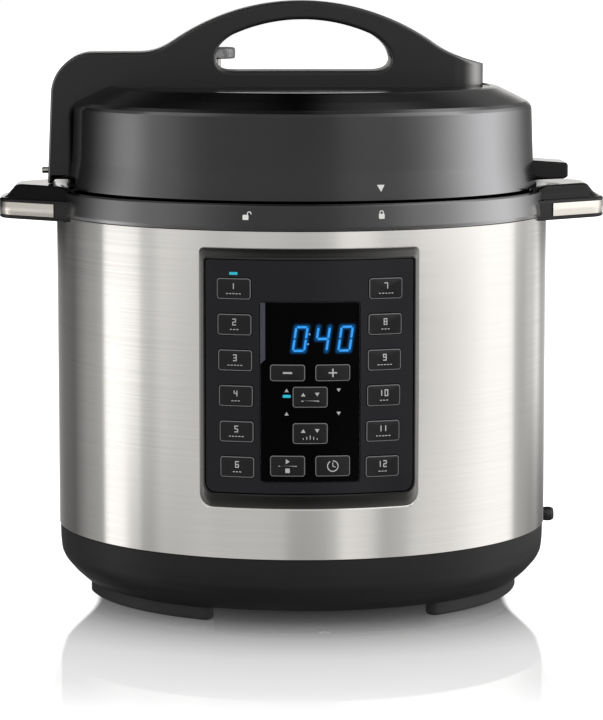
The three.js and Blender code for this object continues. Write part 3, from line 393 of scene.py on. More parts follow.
def length(tree, a, b):
    """The root of the sum of two squares."""
    return calc(tree, "SQRT", calc(tree, "MULTIPLY_ADD", a, a, calc(tree, "MULTIPLY", b, b)))


def ranged(tree, value, a, b, to_a=0.0, to_b=1.0):
    """The value carried smoothly from one range to another."""
    sockets = {"Value": value, "From Min": a, "From Max": b, "To Min": to_a, "To Max": to_b}
    return add(tree, "ShaderNodeMapRange", sockets, interpolation_type="SMOOTHSTEP").outputs["Result"]


def blended(tree, mask, a, b):
    """Two colours mixed by a mask."""
    return add(tree, "ShaderNodeMix", {0: mask, 6: a, 7: b}, data_type="RGBA").outputs[2]


def between(tree, mask, a, b):
    """Two values mixed by a mask: a plus the mask times what b has over a."""
    return calc(tree, "MULTIPLY_ADD", mask, calc(tree, "SUBTRACT", b, a), a)


def noise(tree, vector, scale, detail, roughness=0.5):
    """A noise texture's value."""
    sockets = {"Vector": vector, "Scale": scale, "Detail": detail, "Roughness": roughness}
    return add(tree, "ShaderNodeTexNoise", sockets).outputs[0]


def wire_skin(tree, entry):
    """Fine pits from one noise for the height, and broad soft patches from another for the tone."""
    height = noise(tree, entry["Vector"], entry["Scale"], 2.0)
    tone = ranged(tree, noise(tree, entry["Vector"], entry["Patches"], 2.0), 0.3, 0.7)
    return height, tone


def wire_drawn(tree, entry):
    """Noise on coordinates that are stretched along the brushing: a fine one and a coarser one, added."""
    stretched = add(tree, "ShaderNodeVectorMath", {0: entry["Vector"], 1: entry["Stretch"]}, operation="MULTIPLY")
    fine = noise(tree, stretched.outputs[0], 1.0, 4.0, 0.6)
    coarse = noise(tree, stretched.outputs[0], 0.22, 2.0)
    height = calc(tree, "MULTIPLY_ADD", fine, 0.6, calc(tree, "MULTIPLY", coarse, 0.4))
    return height, ranged(tree, height, 0.32, 0.68)


def wire_turned(tree, entry):
    """Noise on the distance from the axis and the height only, so that it makes rings."""
    x, y, z = split(tree, entry["Vector"])
    radius = length(tree, x, calc(tree, "SUBTRACT", y, entry["Centre Y"]))
    place = add(tree, "ShaderNodeCombineXYZ", {0: radius, 1: z}).outputs[0]
    height = noise(tree, place, entry["Scale"], 3.0)
    return height, ranged(tree, height, 0.3, 0.7)


def wire_box(tree, entry):
    """The distance to a rounded rectangle: the length of the part of |p| outside the shrunken box, plus the larger
    negative part inside it, less the corner's radius."""
    side = []
    for place, half in zip(split(tree, entry["Vector"]), ("Half Width", "Half Height")):
        shrunken = calc(tree, "SUBTRACT", entry[half], entry["Corner"])
        side.append(calc(tree, "SUBTRACT", calc(tree, "ABSOLUTE", place), shrunken))
    outside = length(tree, *(calc(tree, "MAXIMUM", s, 0.0) for s in side))
    inside = calc(tree, "MINIMUM", calc(tree, "MAXIMUM", *side), 0.0)
    return (calc(tree, "SUBTRACT", calc(tree, "ADD", outside, inside), entry["Corner"]),)


EFFECTS = {
    "moulded_skin": (wire_skin, {"Vector": (0, 0, 0), "Scale": 2500.0, "Patches": 18.0}, ("Height", "Tone")),
    "brushed_lines": (wire_drawn, {"Vector": (0, 0, 0), "Stretch": (20, 20, 3000)}, ("Height", "Tone")),
    "turned_rings": (wire_turned, {"Vector": (0, 0, 0), "Centre Y": 0.0, "Scale": 1500.0}, ("Height", "Tone")),
    "rounded_box": (
        wire_box, {"Vector": (0, 0, 0), "Half Width": 0.01, "Half Height": 0.005, "Corner": 0.001}, ("Distance",),
    ),
}


def effect(tree, name, **sockets):
    """Adds a shared effect and gives its outputs. Its node group is built once, from its row in EFFECTS: the function
    that wires it, its inputs with their defaults, of which a tuple is a vector, and the labels of its outputs."""
    group = bpy.data.node_groups.get(name)
    if group is None:
        wire, inputs, outputs = EFFECTS[name]
        group = bpy.data.node_groups.new(name, "ShaderNodeTree")
        for label, value in inputs.items():
            kind = "NodeSocketVector" if isinstance(value, tuple) else "NodeSocketFloat"
            group.interface.new_socket(label, in_out="INPUT", socket_type=kind).default_value = value
        for label in outputs:
            group.interface.new_socket(label, in_out="OUTPUT", socket_type="NodeSocketFloat")
        entry = group.nodes.new("NodeGroupInput").outputs
        end = group.nodes.new("NodeGroupOutput")
        for label, value in zip(outputs, wire(group, entry)):
            group.links.new(value, end.inputs[label])
    return add(tree, "ShaderNodeGroup", spaced(sockets), node_tree=group).outputs


def spaced(sockets):
    """The sockets by their own names, with spaces for underscores."""
    return {key.replace("_", " "): value for key, value in sockets.items()}


def bare_material(name):
    """A new material, its node tree, and the surface socket of its output, which is its only node."""
    material = bpy.data.materials.new(name)
    material.use_nodes = True
    tree = material.node_tree
    tree.nodes.clear()
    return material, tree, tree.nodes.new("ShaderNodeOutputMaterial").inputs[0]


def feed(core, **sockets):
    """Gives a shader's sockets their values: plain numbers and colours sit on the socket, outputs are linked."""
    for key, value in spaced(sockets).items():
        if isinstance(value, bpy.types.NodeSocket):
            core.id_data.links.new(value, core.inputs[key])
        else:
            core.inputs[key].default_value = value


def overlaid(core, mask, colour):
    """Mixes a colour, by a mask, over what already feeds the shader's base colour."""
    old = core.inputs["Base Color"].links[0].from_socket
    feed(core, Base_Color=blended(core.id_data, mask, old, colour))


def here(tree):
    """Object coordinates."""
    return tree.nodes.new("ShaderNodeTexCoord").outputs["Object"]


def split(tree, vector):
    """A vector's three parts."""
    return add(tree, "ShaderNodeSeparateXYZ", {0: vector}).outputs[:]


def flat_place(tree):
    """The piece's own flat pattern coordinates, kept as an attribute."""
    return add(tree, "ShaderNodeAttribute", attribute_name="flat").outputs["Vector"]


def relief(core, height, strength):
    """Feeds a height into the shader's normal."""
    sockets = {"Height": height, "Strength": strength, "Distance": RELIEF_DEPTH}
    feed(core, Normal=add(core.id_data, "ShaderNodeBump", sockets).outputs[0])


def tint(colour, share):
    """A colour made lighter or darker."""
    return (*(min(1.0, c * share) for c in colour[:3]), 1.0)


def toned(core, outputs, colour, vary, rough, spread, strength):
    """Lets an effect's tone vary the colour and the gloss, and its height make the relief."""
    tree, (height, tone) = core.id_data, outputs
    feed(core, Base_Color=blended(tree, tone, tint(colour, 1 - vary), tint(colour, 1 + vary)))
    feed(core, Roughness=ranged(tree, tone, 0, 1, rough - spread, rough + spread))
    relief(core, height, strength)


def moulded(core, colour, rough, pits=0.15, scale=2500.0, spread=0.06, **sockets):
    """Moulded plastic or rubber: pits in its skin, and soft patches in its colour and gloss."""
    feed(core, **sockets)
    skin = effect(core.id_data, "moulded_skin", Vector=here(core.id_data), Scale=scale)
    toned(core, skin, colour, 0.12, rough, spread, pits)


def brushed(core, colour, rough, stretch, lines=0.12, spread=0.05, vary=0.06, **sockets):
    """Brushed metal: stretched lines in its colour, gloss and height."""
    feed(core, Metallic=1.0, **sockets)
    drawn = effect(core.id_data, "brushed_lines", Vector=here(core.id_data), Stretch=stretch)
    toned(core, drawn, colour, vary, rough, -spread, lines)


def spun(core, colour, rough, scale, lines):
    """Spun or turned metal: fine rings round the axis."""
    feed(core, Metallic=1.0)
    rings = effect(core.id_data, "turned_rings", Vector=here(core.id_data), Centre_Y=float(AXIS_Y), Scale=scale)
    toned(core, rings, colour, 0.05, rough, -0.05, lines)


def lacquered(core, colour, rough, flake, least, most, rise=(0.08, 0.46), fall=(0.6, 0.85), pits=0.06, level=0.5):
    """Satin lacquer over fine metal flakes: the shallower the look at it, the more it shines like metal, until the
    clear film over the flakes takes over."""
    moulded(core, colour, rough, pits, 3500.0, 0.03, Specular_IOR_Level=level)
    tree = core.id_data
    facing = add(tree, "ShaderNodeLayerWeight", {"Blend": 0.5}).outputs["Facing"]
    metal = ranged(tree, facing, 0.02, 0.12)
    feed(core, Metallic=metal)
    shine = product(tree, ranged(tree, facing, *rise, least, most), ranged(tree, facing, *fall, 1.0, 0.2))
    overlaid(core, metal, blended(tree, shine, BLACK, (*flake, 1.0)))


def glowing(core, colour):
    """A lit mark: its light varies a little over it."""
    tree = core.id_data
    spot = ranged(tree, noise(tree, here(tree), 900.0, 1.0), 0.3, 0.7)
    light = blended(tree, spot, (*colour, 1.0), tint(colour, 1.25))
    feed(core, Base_Color=BLACK, Roughness=0.4, Emission_Strength=1.0, Emission_Color=light)


# ---------- finishes ----------
def wall_finish(core, colours):
    """Round-brushed stainless steel, a little stained, with its highlight drawn out across the lines."""
    grain = (12.0, 12.0, 3400.0)
    brushed(core, colours.steel, 0.145, grain, 0.04, 0.02, 0.02, Anisotropic=0.85, Anisotropic_Rotation=0.25)
    tangent = add(core.id_data, "ShaderNodeTangent", direction_type="UV_MAP", uv_map="UVMap")
    feed(core, Tangent=tangent.outputs[0])


def key_finish(core, colours):
    """A key's film: near-black with a thin printed outline along its edge."""
    tree = core.id_data
    feed(core, Specular_IOR_Level=0.3)
    toned(core, effect(tree, "moulded_skin", Vector=here(tree), Scale=3000.0), colours.key, 0.1, 0.23, 0.03, 0.03)
    tall = add(tree, "ShaderNodeAttribute", attribute_name="tall").outputs["Fac"]
    sizes = {"Half_Width": float(KEY_W / 2), "Half_Height": tall, "Corner": float(KEY_CORNER)}
    distance = effect(tree, "rounded_box", Vector=flat_place(tree), **sizes)[0]
    off = calc(tree, "ABSOLUTE", calc(tree, "ADD", distance, 0.32 * MM))
    overlaid(core, ranged(tree, off, 0.13 * MM, 0.26 * MM, 1.0, 0.0), (*colours.outline, 1.0))


def screen_finish(core, colours):
    """A tinted window with a painted blue glow round the lit digits, for their light spreading in it: the nearer the
    closest bar, the brighter.
    """
    tree = core.id_data
    x, y, _ = split(tree, flat_place(tree))
    upright_x = calc(tree, "MULTIPLY_ADD", calc(tree, "SUBTRACT", y, float(DIGIT_Z)), -DIGIT_SLANT, x)
    place = add(tree, "ShaderNodeCombineXYZ", {0: upright_x, 1: y}).outputs[0]
    glow = 0.0
    for left, digit in zip(DIGIT_LEFTS, SHOWN_DIGITS):
        for x0, y0, x1, y1 in digit_bars(left, digit):
            centre = ((x0 + x1) / 2, (y0 + y1) / 2, 0.0)
            moved = add(tree, "ShaderNodeVectorMath", {0: place, 1: centre}, operation="SUBTRACT").outputs[0]
            sizes = {"Half_Width": (x1 - x0) / 2, "Half_Height": (y1 - y0) / 2, "Corner": 0.0}
            distance = effect(tree, "rounded_box", Vector=moved, **sizes)[0]
            glow = calc(tree, "MAXIMUM", glow, ranged(tree, distance, 0.4 * MM, 2.4 * MM, 1.0, 0.0))
    glow = calc(tree, "POWER", glow, 1.6)
    height, tone = effect(tree, "moulded_skin", Vector=here(tree), Scale=600.0)
    # painted glow: the window's emission round the digits stands for the light they spread into it
    feed(
        core, Specular_IOR_Level=0.02, Emission_Strength=1.0, Roughness=ranged(tree, tone, 0, 1, 0.1, 0.15),
        Base_Color=blended(tree, tone, (0.0008, 0.0008, 0.001, 1), (0.0013, 0.0013, 0.0017, 1)),
        Emission_Color=blended(tree, glow, BLACK, tint(colours.digits, 0.22)),
    )
    relief(core, height, 0.02)


def pot_finish(core, colours):
    """Satin aluminium, with measuring marks up one side of the inside: a dash every 20 mm where all masks meet."""
    tree = core.id_data
    spun(core, colours.aluminium, 0.3, 700.0, 0.08)
    x, y, z = split(tree, here(tree))
    y = calc(tree, "SUBTRACT", y, float(AXIS_Y))
    step = calc(tree, "PINGPONG", calc(tree, "SUBTRACT", z, float(POT_Z0)), 10 * MM)
    tall = POT_Z1 - POT_Z0
    mask = product(
        tree,
        ranged(tree, step, 0.25 * MM, 0.45 * MM, 1.0, 0.0),
        ranged(tree, calc(tree, "ABSOLUTE", x), 9 * MM, 9.4 * MM, 1.0, 0.0),
        ranged(tree, y, POT_R - 2.0 * MM, POT_R - 1.4 * MM, 1.0, 0.0),
        calc(tree, "GREATER_THAN", y, 0.0),
        ranged(tree, z, POT_Z0 + 0.78 * tall, POT_Z0 + 0.8 * tall, 1.0, 0.0),
        ranged(tree, z, POT_Z0 + 14 * MM, POT_Z0 + 16 * MM),
    )
    overlaid(core, mask, (0.05, 0.05, 0.05, 1))


def board_finish(core, colours):
    """Lacquered board: green with fine copper-coloured tracks."""
    tree = core.id_data
    sockets = {"Vector": here(tree), "Scale": 260.0}
    cells = add(tree, "ShaderNodeTexVoronoi", sockets, distance="MANHATTAN", feature="DISTANCE_TO_EDGE")
    track = ranged(tree, cells.outputs[0], 0.03, 0.06, 1.0, 0.0)
    feed(core, Specular_IOR_Level=0.5, Roughness=ranged(tree, track, 0, 1, 0.35, 0.25))
    feed(core, Base_Color=blended(tree, track, (0.02, 0.12, 0.06, 1), (0.05, 0.2, 0.09, 1)))
    relief(core, track, 0.1)


FINISHES = {
    "wall": wall_finish,
    "key": key_finish,
    "screen": screen_finish,
    "pot": pot_finish,
    "board": board_finish,
    "base": lambda s, c: moulded(s, c.base, 0.42, 0.12, 2200.0, 0.04, Specular_IOR_Level=0.2),
    # dead black that reflects nothing: painted shade on the bottom cover under the base and on the ledge under the lid
    "cover": lambda s, c: moulded(s, (0.004, 0.004, 0.004), 0.7, 0.2, 1800.0, Specular_IOR_Level=0.0),
    "rubber": lambda s, c: moulded(s, (0.012, 0.012, 0.013), 0.7, 0.25, 1800.0),
    "gland": lambda s, c: moulded(s, (0.008, 0.008, 0.009), 0.3, 0.05),
    "lid": lambda s, c: lacquered(s, c.lid, 0.19, (0.95, 0.96, 1.0), 0.052, 0.37),
    "ring": lambda s, c: lacquered(s, tint(c.lid, 1.3), 0.2, (0.97, 0.97, 1.0), 0.097, 0.37),
    "handle": lambda s, c: lacquered(s, c.handle, 0.33, (1.0, 1.0, 1.0), 0.03, 0.3, (0.05, 0.4), (0.7, 0.9), 0.08, 0.4),
    "gloss": lambda s, c: moulded(s, c.gloss, 0.1, 0.015, 900.0, 0.03, Specular_IOR_Level=0.3),
    "bezel": lambda s, c: lacquered(s, c.bezel, 0.3, (1.0, 1.0, 0.97), 0.035, 0.2),
    "overlay": lambda s, c: moulded(s, c.overlay, 0.3, 0.04, 3200.0, 0.03, Specular_IOR_Level=0.25),
    "membrane": lambda s, c: moulded(s, (0.12, 0.12, 0.13), 0.6, 0.1),
    "carrier": lambda s, c: moulded(s, (0.02, 0.02, 0.021), 0.6, 0.15),
    "display": lambda s, c: moulded(s, (0.01, 0.02, 0.04), 0.3, 0.05),
    "print": lambda s, c: moulded(s, c.print, 0.5, 0.05, 5000.0),
    "mark": lambda s, c: moulded(s, (0.62, 0.62, 0.6), 0.5, 0.05, 5000.0),
    "bevel": lambda s, c: moulded(s, (0.035, 0.037, 0.055), 0.25, 0.03),
    "digits": lambda s, c: glowing(s, c.digits),
    "stem": lambda s, c: spun(s, (0.6, 0.59, 0.58), 0.25, 1500.0, 0.05),
    "colon": lambda s, c: glowing(s, (0.12, 0.3, 0.55)),
    "lamp": lambda s, c: glowing(s, c.lamps),
    "band": lambda s, c: brushed(s, c.band, 0.22, (30.0, 30.0, 2500.0), 0.08),
    "pressed": lambda s, c: spun(s, (0.6, 0.6, 0.59), 0.26, 500.0, 0.06),
    "heater": lambda s, c: spun(s, (0.55, 0.56, 0.57), 0.38, 1100.0, 0.25),
    "fastener": lambda s, c: spun(s, (0.55, 0.55, 0.54), 0.3, 1500.0, 0.1),
    "silicone": lambda s, c: moulded(s, (0.7, 0.69, 0.65), 0.45, 0.08, 1500.0, Subsurface_Weight=0.15),
    "knob": lambda s, c: spun(s, (0.3, 0.3, 0.31), 0.42, 1200.0, 0.05),
    "float": lambda s, c: spun(s, (0.42, 0.05, 0.04), 0.32, 1500.0, 0.06),
    "smoke": lambda s, c: moulded(s, (0.02, 0.02, 0.022), 0.12, 0.02, 900.0, 0.03, Alpha=0.82),
}
MADE = {}


def finish(name):
    """The material of that name: one Principled shader, made up by the row in FINISHES when it is first asked for."""
    if name not in MADE:
        MADE[name], tree, surface = bare_material("finish_" + name)
        core = tree.nodes.new("ShaderNodeBsdfPrincipled")
        tree.links.new(core.outputs[0], surface)
        FINISHES[name](core, bpy.context.scene.cooker_colours)
    return MADE[name]


# ---------- sizes of the details ----------
def mm(*points):
    """Points given in millimetres."""
    return np.array(points, float) * MM


def soft(points, corners, steps=6):
    """A closed outline in millimetres, with its corners rounded by radii in millimetres."""
    return rounded(mm(*points), np.array(corners) * MM, steps)


KEY_W = 18.3 * MM
KEY_CORNER = 1.6 * MM
KEY_FRONT = 139.0 * MM
KEY_BACK = 136.7 * MM
DIGIT_H, DIGIT_W, DIGIT_STROKE, DIGIT_SLANT = 13.4 * MM, 7.0 * MM, 1.15 * MM, 0.145
DIGIT_Z = 146.9 * MM
DIGIT_LEFTS = (-9.6 * MM, 1.9 * MM, 13.9 * MM)
SHOWN_DIGITS = "040"
SEGMENTS = {
    "0": "abcdef",
    "4": "bcfg",
}
LUGS, LUG_ARC = 6, 24.0
VALVE, FLOAT = (-48 * MM, AXIS_Y + 42 * MM), (34 * MM, AXIS_Y + 52 * MM)
SIDES = ("left", "right")
SKIRT_TAPER = 1.2 / 11.4


def lid_outline():
    """The lid's outside from the skirt's edge to the rim of its plate."""
    return mm(
        (129.8, 223.3), (128.7, 230.3), (127.5, 238.3), (127.1, 248), (126.7, 262.3), (126.5, 266.5),
        (125.7, 268.2), (123.9, 269.9), (116.9, 273.5), (108.6, 277.5), (106.8, 278.05), (104, 278.3), (103.7, 277.9),
    )


def ring_radius(z):
    """The ring's sloping side at a height."""
    return RING_R - SKIRT_TAPER * (z - (RING_Z0 + 2 * MM))


def disc_outline(radius, steps=96):
    """A circle about the axis."""
    return circle_outline(0.0, AXIS_Y, radius, steps)


# ---------- base ----------
def build_base():
    """The moulded base: its section is a polygon with rounded corners, turned round the axis."""
    section = (
        (118.8, 7.7), (121.4, 7.7), (126.9, 12.6), (131.7, 18.1), (133.6, 22), (134.25, 28.3),
        (134.4, 37.2), (132.4, 37.2), (132.4, 45.5), (129.8, 45.5), (129.8, 30), (118.8, 13.5),
    )
    corners = (0.3, 1.2, 9, 12, 9, 9, 0.5, 0.2, 0.4, 0.4, 2, 1)
    turned_piece("base_moulding", section, corners, 256, "base", "housing", "base_black", "base_shell")


def build_cover():
    """The plate under the base, with vents, and its four screws."""
    y0, y1 = AXIS_Y + 66 * MM, AXIS_Y + 88 * MM
    vents = (np.arange(7) - 3) * 9 * MM
    holes = [box_outline(x - 1.5 * MM, x + 1.5 * MM, y0, y1, 1.4 * MM, 4) for x in vents]
    section = edge_section(BASE_Z0, BASE_Z0 + 2.5 * MM, 0.4 * MM, 0.4 * MM)
    # the plate's black plastic is made dead black and unreflecting here as painted shade under the base
    mesh = plate("cover_plate", [disc_outline(118.4 * MM, 160), *holes], section)
    piece(mesh, "cover", "housing", "base_black", "bottom_cover")
    head = mm((0, -0.7), (0.7, -0.7), (1.0, -0.35), (2.4, -0.5), (3.2, -0.2), (3.3, 0.3), (0, 0.3))
    head[:, 1] += BASE_Z0
    # the steel screws take the gland's black: painted shade, as they lie in the dark under the base
    for number, turn in enumerate((5, 85, 185, 275)):
        screw = turned(f"cover_screw_{number + 1}", head, around_axis(104 * MM, turn), 24)
        piece(screw, "gland", "housing", "fastener_steel")


def around_axis(radius, turn):
    """The plan place at a distance from the axis and an azimuth in degrees, counted from +X."""
    return radius * math.cos(math.radians(turn)), AXIS_Y + radius * math.sin(math.radians(turn))


def build_feet():
    """Four rubber feet: arcs with rounded ends and edges."""
    section = edge_section(0, FOOT_TOP, 1.8 * MM, 0.6 * MM, 6)
    half = 24.9
    feet = (("front_left", -141, 28.4), ("front_right", -31, half), ("rear_right", 39, half), ("rear_left", 141, half))
    for name, turn, before in feet:
        outline = sector_outline(110.5 * MM, 119.4 * MM, turn - before, turn + half, 3.5 * MM)
        piece(plate("pad_" + name, [outline], section), "rubber", "housing", "foot_rubber", "foot_" + name)


def build_gland():
    """The cord gland: a ribbed sleeve turned round an axis along X, with a shallow mouth at its end."""
    section = (
        (0, 112), (4.0, 112), (4.0, 132.5), (3.0, 133.6), (2.5, 134.6), (2.4, 138.2), (3.0, 139.2),
        (3.9, 140.2), (4.1, 142), (4.0, 144), (3.2, 145.6), (2.2, 146), (1.9, 144.6), (0, 144.4),
    )
    mesh = turned("cord_sleeve", soft(section, 0.35, 3), (AXIS_Y + 41 * MM, 31 * MM), 48, along_x=True)
    piece(mesh, "gland", "housing", "gland_black", "cord_gland")


# ---------- housing ----------
def build_wall():
    """The steel wall: a cylinder's sheet over azimuth and height, without the panel's window, given its thickness."""
    around = np.linspace(-np.pi, np.pi, 320, endpoint=False)
    top, rim, hidden = WALL_Z1 + 0.1 * MM, 0.15 * MM, 5 * MM
    levels = np.concatenate([[WALL_Z0], np.linspace(WALL_Z0 + rim, top - rim, 41), [top]])
    a, z = np.meshgrid(around, levels)
    points = np.stack([WALL_R * np.sin(a), AXIS_Y - WALL_R * np.cos(a), z], -1).reshape(-1, 3)
    faces = grid_faces(len(levels), len(around))
    x, y, height = points[faces].mean(1).T
    inside = np.abs(np.arctan2(x, AXIS_Y - y) * WALL_R) < PANEL_HALF - hidden
    inside &= (height > PANEL_Z0 + hidden) & (height < PANEL_Z1 - hidden)
    mesh = build("steel_shell", points, faces[~inside])
    round_uv(mesh)
    shell = piece(mesh, "wall", "housing", "brushed_wall", "steel_wall")
    wall = shell.modifiers.new("thickness", "SOLIDIFY")
    wall.thickness, wall.offset = SHEET, -1


def build_ring():
    """The satin top ring: a rounded section turned round the axis, a dead black ledge with a lip inside it that fills
    the gap under the lid with painted shade, and two printed padlocks."""
    section = (
        (132.3, 210.7), (132.3, 221.5), (132.8, 222.4), (133.9, 222.4), (134.8, 221.4), (136, 210.7), (136, 208.8),
        (133.4, 208.8), (133.4, 210.7),
    )
    corners = (0.3, 0.4, 0.4, 0.7, 0.9, 0.8, 0.3, 0.3, 0.3)
    turned_piece("ring_moulding", section, corners, 256, "ring", "housing", "satin_black", "top_ring")
    # painted shade: a dead black, unreflecting ledge and lip that keep the gap under the lid dark
    section = (118.9, 214), (118.9, 226.4), (120.1, 226.4), (120.6, 220.8), (132.25, 220.8), (132.25, 214)
    turned_piece("ring_shade_ledge", section, 0.3, 192, "cover", "housing", "satin_black")
    lay_mark("padlock_shut", padlock(False), 15.9, 217.0 * MM, ring_radius, "housing", "satin_black")
    lay_mark("padlock_open", padlock(True), -14.1, 216.7 * MM, ring_radius, "housing", "satin_black")


def padlock(is_open):
    """Outlines of a padlock 4.6 mm high: its body, and a shackle, which is a half ring on two legs. The open one's
    shackle stands beside the body."""
    shift, short = (1.9, 0.6) if is_open else (0.0, 0.25)
    outer, inner, bend = 1.15, 0.68, (shift, 0.95)
    feet = [[shift - outer, 0.25], [shift - inner, 0.25]], [[shift + inner, short], [shift + outer, short]]
    arcs = arc_points(bend, outer, 0, 180, 12), arc_points(bend, inner, 180, 0, 12)
    shackle = np.concatenate([arcs[0], feet[0], arcs[1], feet[1]]) * MM
    return [box_outline(-1.55 * MM, 1.55 * MM, -2.3 * MM, 0.3 * MM, 0.35 * MM, 3), shackle]


def lay_mark(name, outlines, turn, z, radius, body, slot):
    """A printed mark: flat outlines, a film thick, laid on a surface of revolution at a turn and a height. radius is
    that surface's radius over height."""

    def place(points):
        height = points[:, 1] + z
        angle = points[:, 0] / radius(height) + math.radians(turn)
        r = radius(height) + points[:, 2]
        return np.stack([r * np.sin(angle), AXIS_Y - r * np.cos(angle), height], 1)

    meshes = [plate(name, [outline], mm((0, -0.05), (0, 0.08)), place) for outline in outlines]
    piece(joined(name, meshes), "mark", body, slot)


def lugs(inner, outer, section):
    """The lugs of a bayonet ring, evenly round the axis."""
    turns, half = np.arange(LUGS) * 360 / LUGS, LUG_ARC / 2
    return [
        plate("lug", [sector_outline(inner, outer, turn - half, turn + half, 0.9 * MM, 24)], section) for turn in turns
    ]


def build_well():
    """The pressed well with its six lugs, the heating plate with five grooves, and the sensor's cap."""
    section = (
        (22, 50.8), (112.2, 50.8), (115.2, 53.8), (115.2, 218.1), (118.5, 218.1), (118.5, 230), (117.3, 230),
        (117.3, 219.3), (114, 219.3), (114, 54.9), (111.1, 52), (22, 52),
    )
    shell = turned("pressed_well", soft(section, (0.3, 2, 2, 0.5, 0.5, 0.4, 0.4, 0.6, 0.6, 2, 2, 0.3)), steps=224)
    lug = edge_section(WELL_Z1 - 2 * MM, WELL_Z1, 0.4 * MM, 0.5 * MM)
    whole = joined("pressed_well", [shell, *lugs(117.6 * MM, LUG_R, lug)])
    piece(whole, "pressed", "housing", "pressed_steel", "steel_well")

    groove = (1.1, 0), (0.7, 0.6), (-0.7, 0.6), (-1.1, 0)
    section = (
        (14.4, 52.6), (14.8, 52.3), (84.8, 52.3), (86, 53.5), (86, 58.1), (84.8, 59.3),
        *((r + out, 59.3 - down) for r in (76, 62, 48, 34, 22) for out, down in groove), (15, 59.3), (14.4, 58.7),
    )
    turned_piece("heating_disc", section, None, 192, "heater", "housing", "heater_aluminium", "heating_plate")

    section = (
        (7.4, 50.3), (13.4, 50.3), (14, 50.9), (14, 57.7), (13.6, 58.7), (12.6, 59.3), (0, 59.3), (0, 57.9),
        (11.6, 57.9), (12.4, 57.2), (12.4, 51.6), (7.4, 51.6),
    )
    turned_piece("sensor_disc", section, None, 64, "heater", "sensor", "pressed_steel", "sensor_cap")


def build_spring():
    """The sensor's coil spring: a round wire whose centre climbs evenly round the axis. Its foot stays on the board."""
    wire, turns, sides = 0.7 * MM, 5, 12
    (x0, _, bottom), (x1, _, top) = low("sensor_spring"), high("sensor_spring")
    share = np.linspace(0, 1, turns * 48 + 1)[:, None]
    angle = share * turns * 2 * np.pi
    around = np.linspace(0, 2 * np.pi, sides, endpoint=False)[None, :]
    out = (x1 - x0) / 2 - wire + wire * np.cos(around)
    up = bottom + wire + share * (top - bottom - 2 * wire) + wire * np.sin(around)
    points = np.stack([out * np.cos(angle), AXIS_Y + out * np.sin(angle), up], -1).reshape(-1, 3)
    faces = grid_faces(len(share), sides)[:, ::-1].tolist()
    faces += [list(range(sides)), list(range(len(points) - sides, len(points)))[::-1]]
    coil = build("sensor_coil", points, faces)
    spring = piece(coil, "fastener", "housing", "fastener_steel", "sensor_spring")
    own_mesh(spring)


def build_pot():
    """The cooking pot: a wall with a rolled rim and rounded corners between wall and floor."""
    outer, inner, lip, floor = POT_R - 5 * MM, POT_R - 6.5 * MM, POT_Z1 - 2 * MM, POT_Z0 + 2.1 * MM
    section = [[outer, POT_Z0], [outer, lip], [POT_R, lip], [POT_R, POT_Z1], [inner, POT_Z1], [inner, floor]]
    outline = rounded(section, np.array([8, 0.4, 0.9, 0.9, 1.2, 7]) * MM, 8)
    mesh = turned("inner_pot", np.concatenate([[[0, POT_Z0]], outline, [[0, floor]]]), steps=224)
    piece(mesh, "pot", "pot", "pot_aluminium", "cooking_pot")


# ---------- side handles ----------
def handle_plan(inset, corner, root):
    """A handle's plan: two tapering sides, a tip with rounded corners, and a root that follows a circle round the
    axis. A side meets that circle where x squared plus (a - b x) squared equals the circle's radius squared."""
    reach, start, slope = 166 * MM - inset, 135 * MM, 0.76
    a = 42 * MM + slope * start - inset * math.hypot(1, slope)
    square = 1 + slope * slope
    x = (a * slope + math.sqrt((a * slope) ** 2 - square * (a * a - root * root))) / square
    y, tip, back = a - slope * x, a - slope * reach, 60 * MM
    inner_y = y + back * slope
    curve = rounded([[x - back, -inner_y], [reach, -tip], [reach, tip], [x - back, inner_y]], corner, 8)
    half = math.degrees(math.atan2(y, x))
    return np.concatenate([curve[curve[:, 0] > x + 0.01 * MM], arc_points((0, 0), root, half, -half, 24)])


def sided(side):
    """A place function for the left or right handle: the plan as it is, or turned half round the axis."""
    sign = 1 if side == "right" else -1

    def place(points):
        return np.stack([sign * points[:, 0], AXIS_Y + sign * points[:, 1], points[:, 2]], 1)

    return place


def strip(name, path, section, place):
    """A closed section of [inset, level] points carried along an open path, with both ends filled."""
    on = np.gradient(path, axis=0)
    on /= np.linalg.norm(on, axis=1)[:, None]
    inward = np.stack([-on[:, 1], on[:, 0]], 1)
    rows = path[:, None] + inward[:, None] * section[None, :, 0, None]
    level = np.broadcast_to(section[None, :, 1, None], rows.shape[:2] + (1,))
    points = np.concatenate([rows, level], 2).reshape(-1, 3)
    faces = grid_faces(len(path), len(section)).tolist()
    faces += [list(range(len(section))), list(range(len(points) - len(section), len(points)))]
    return build(name, points, faces, bend=place)


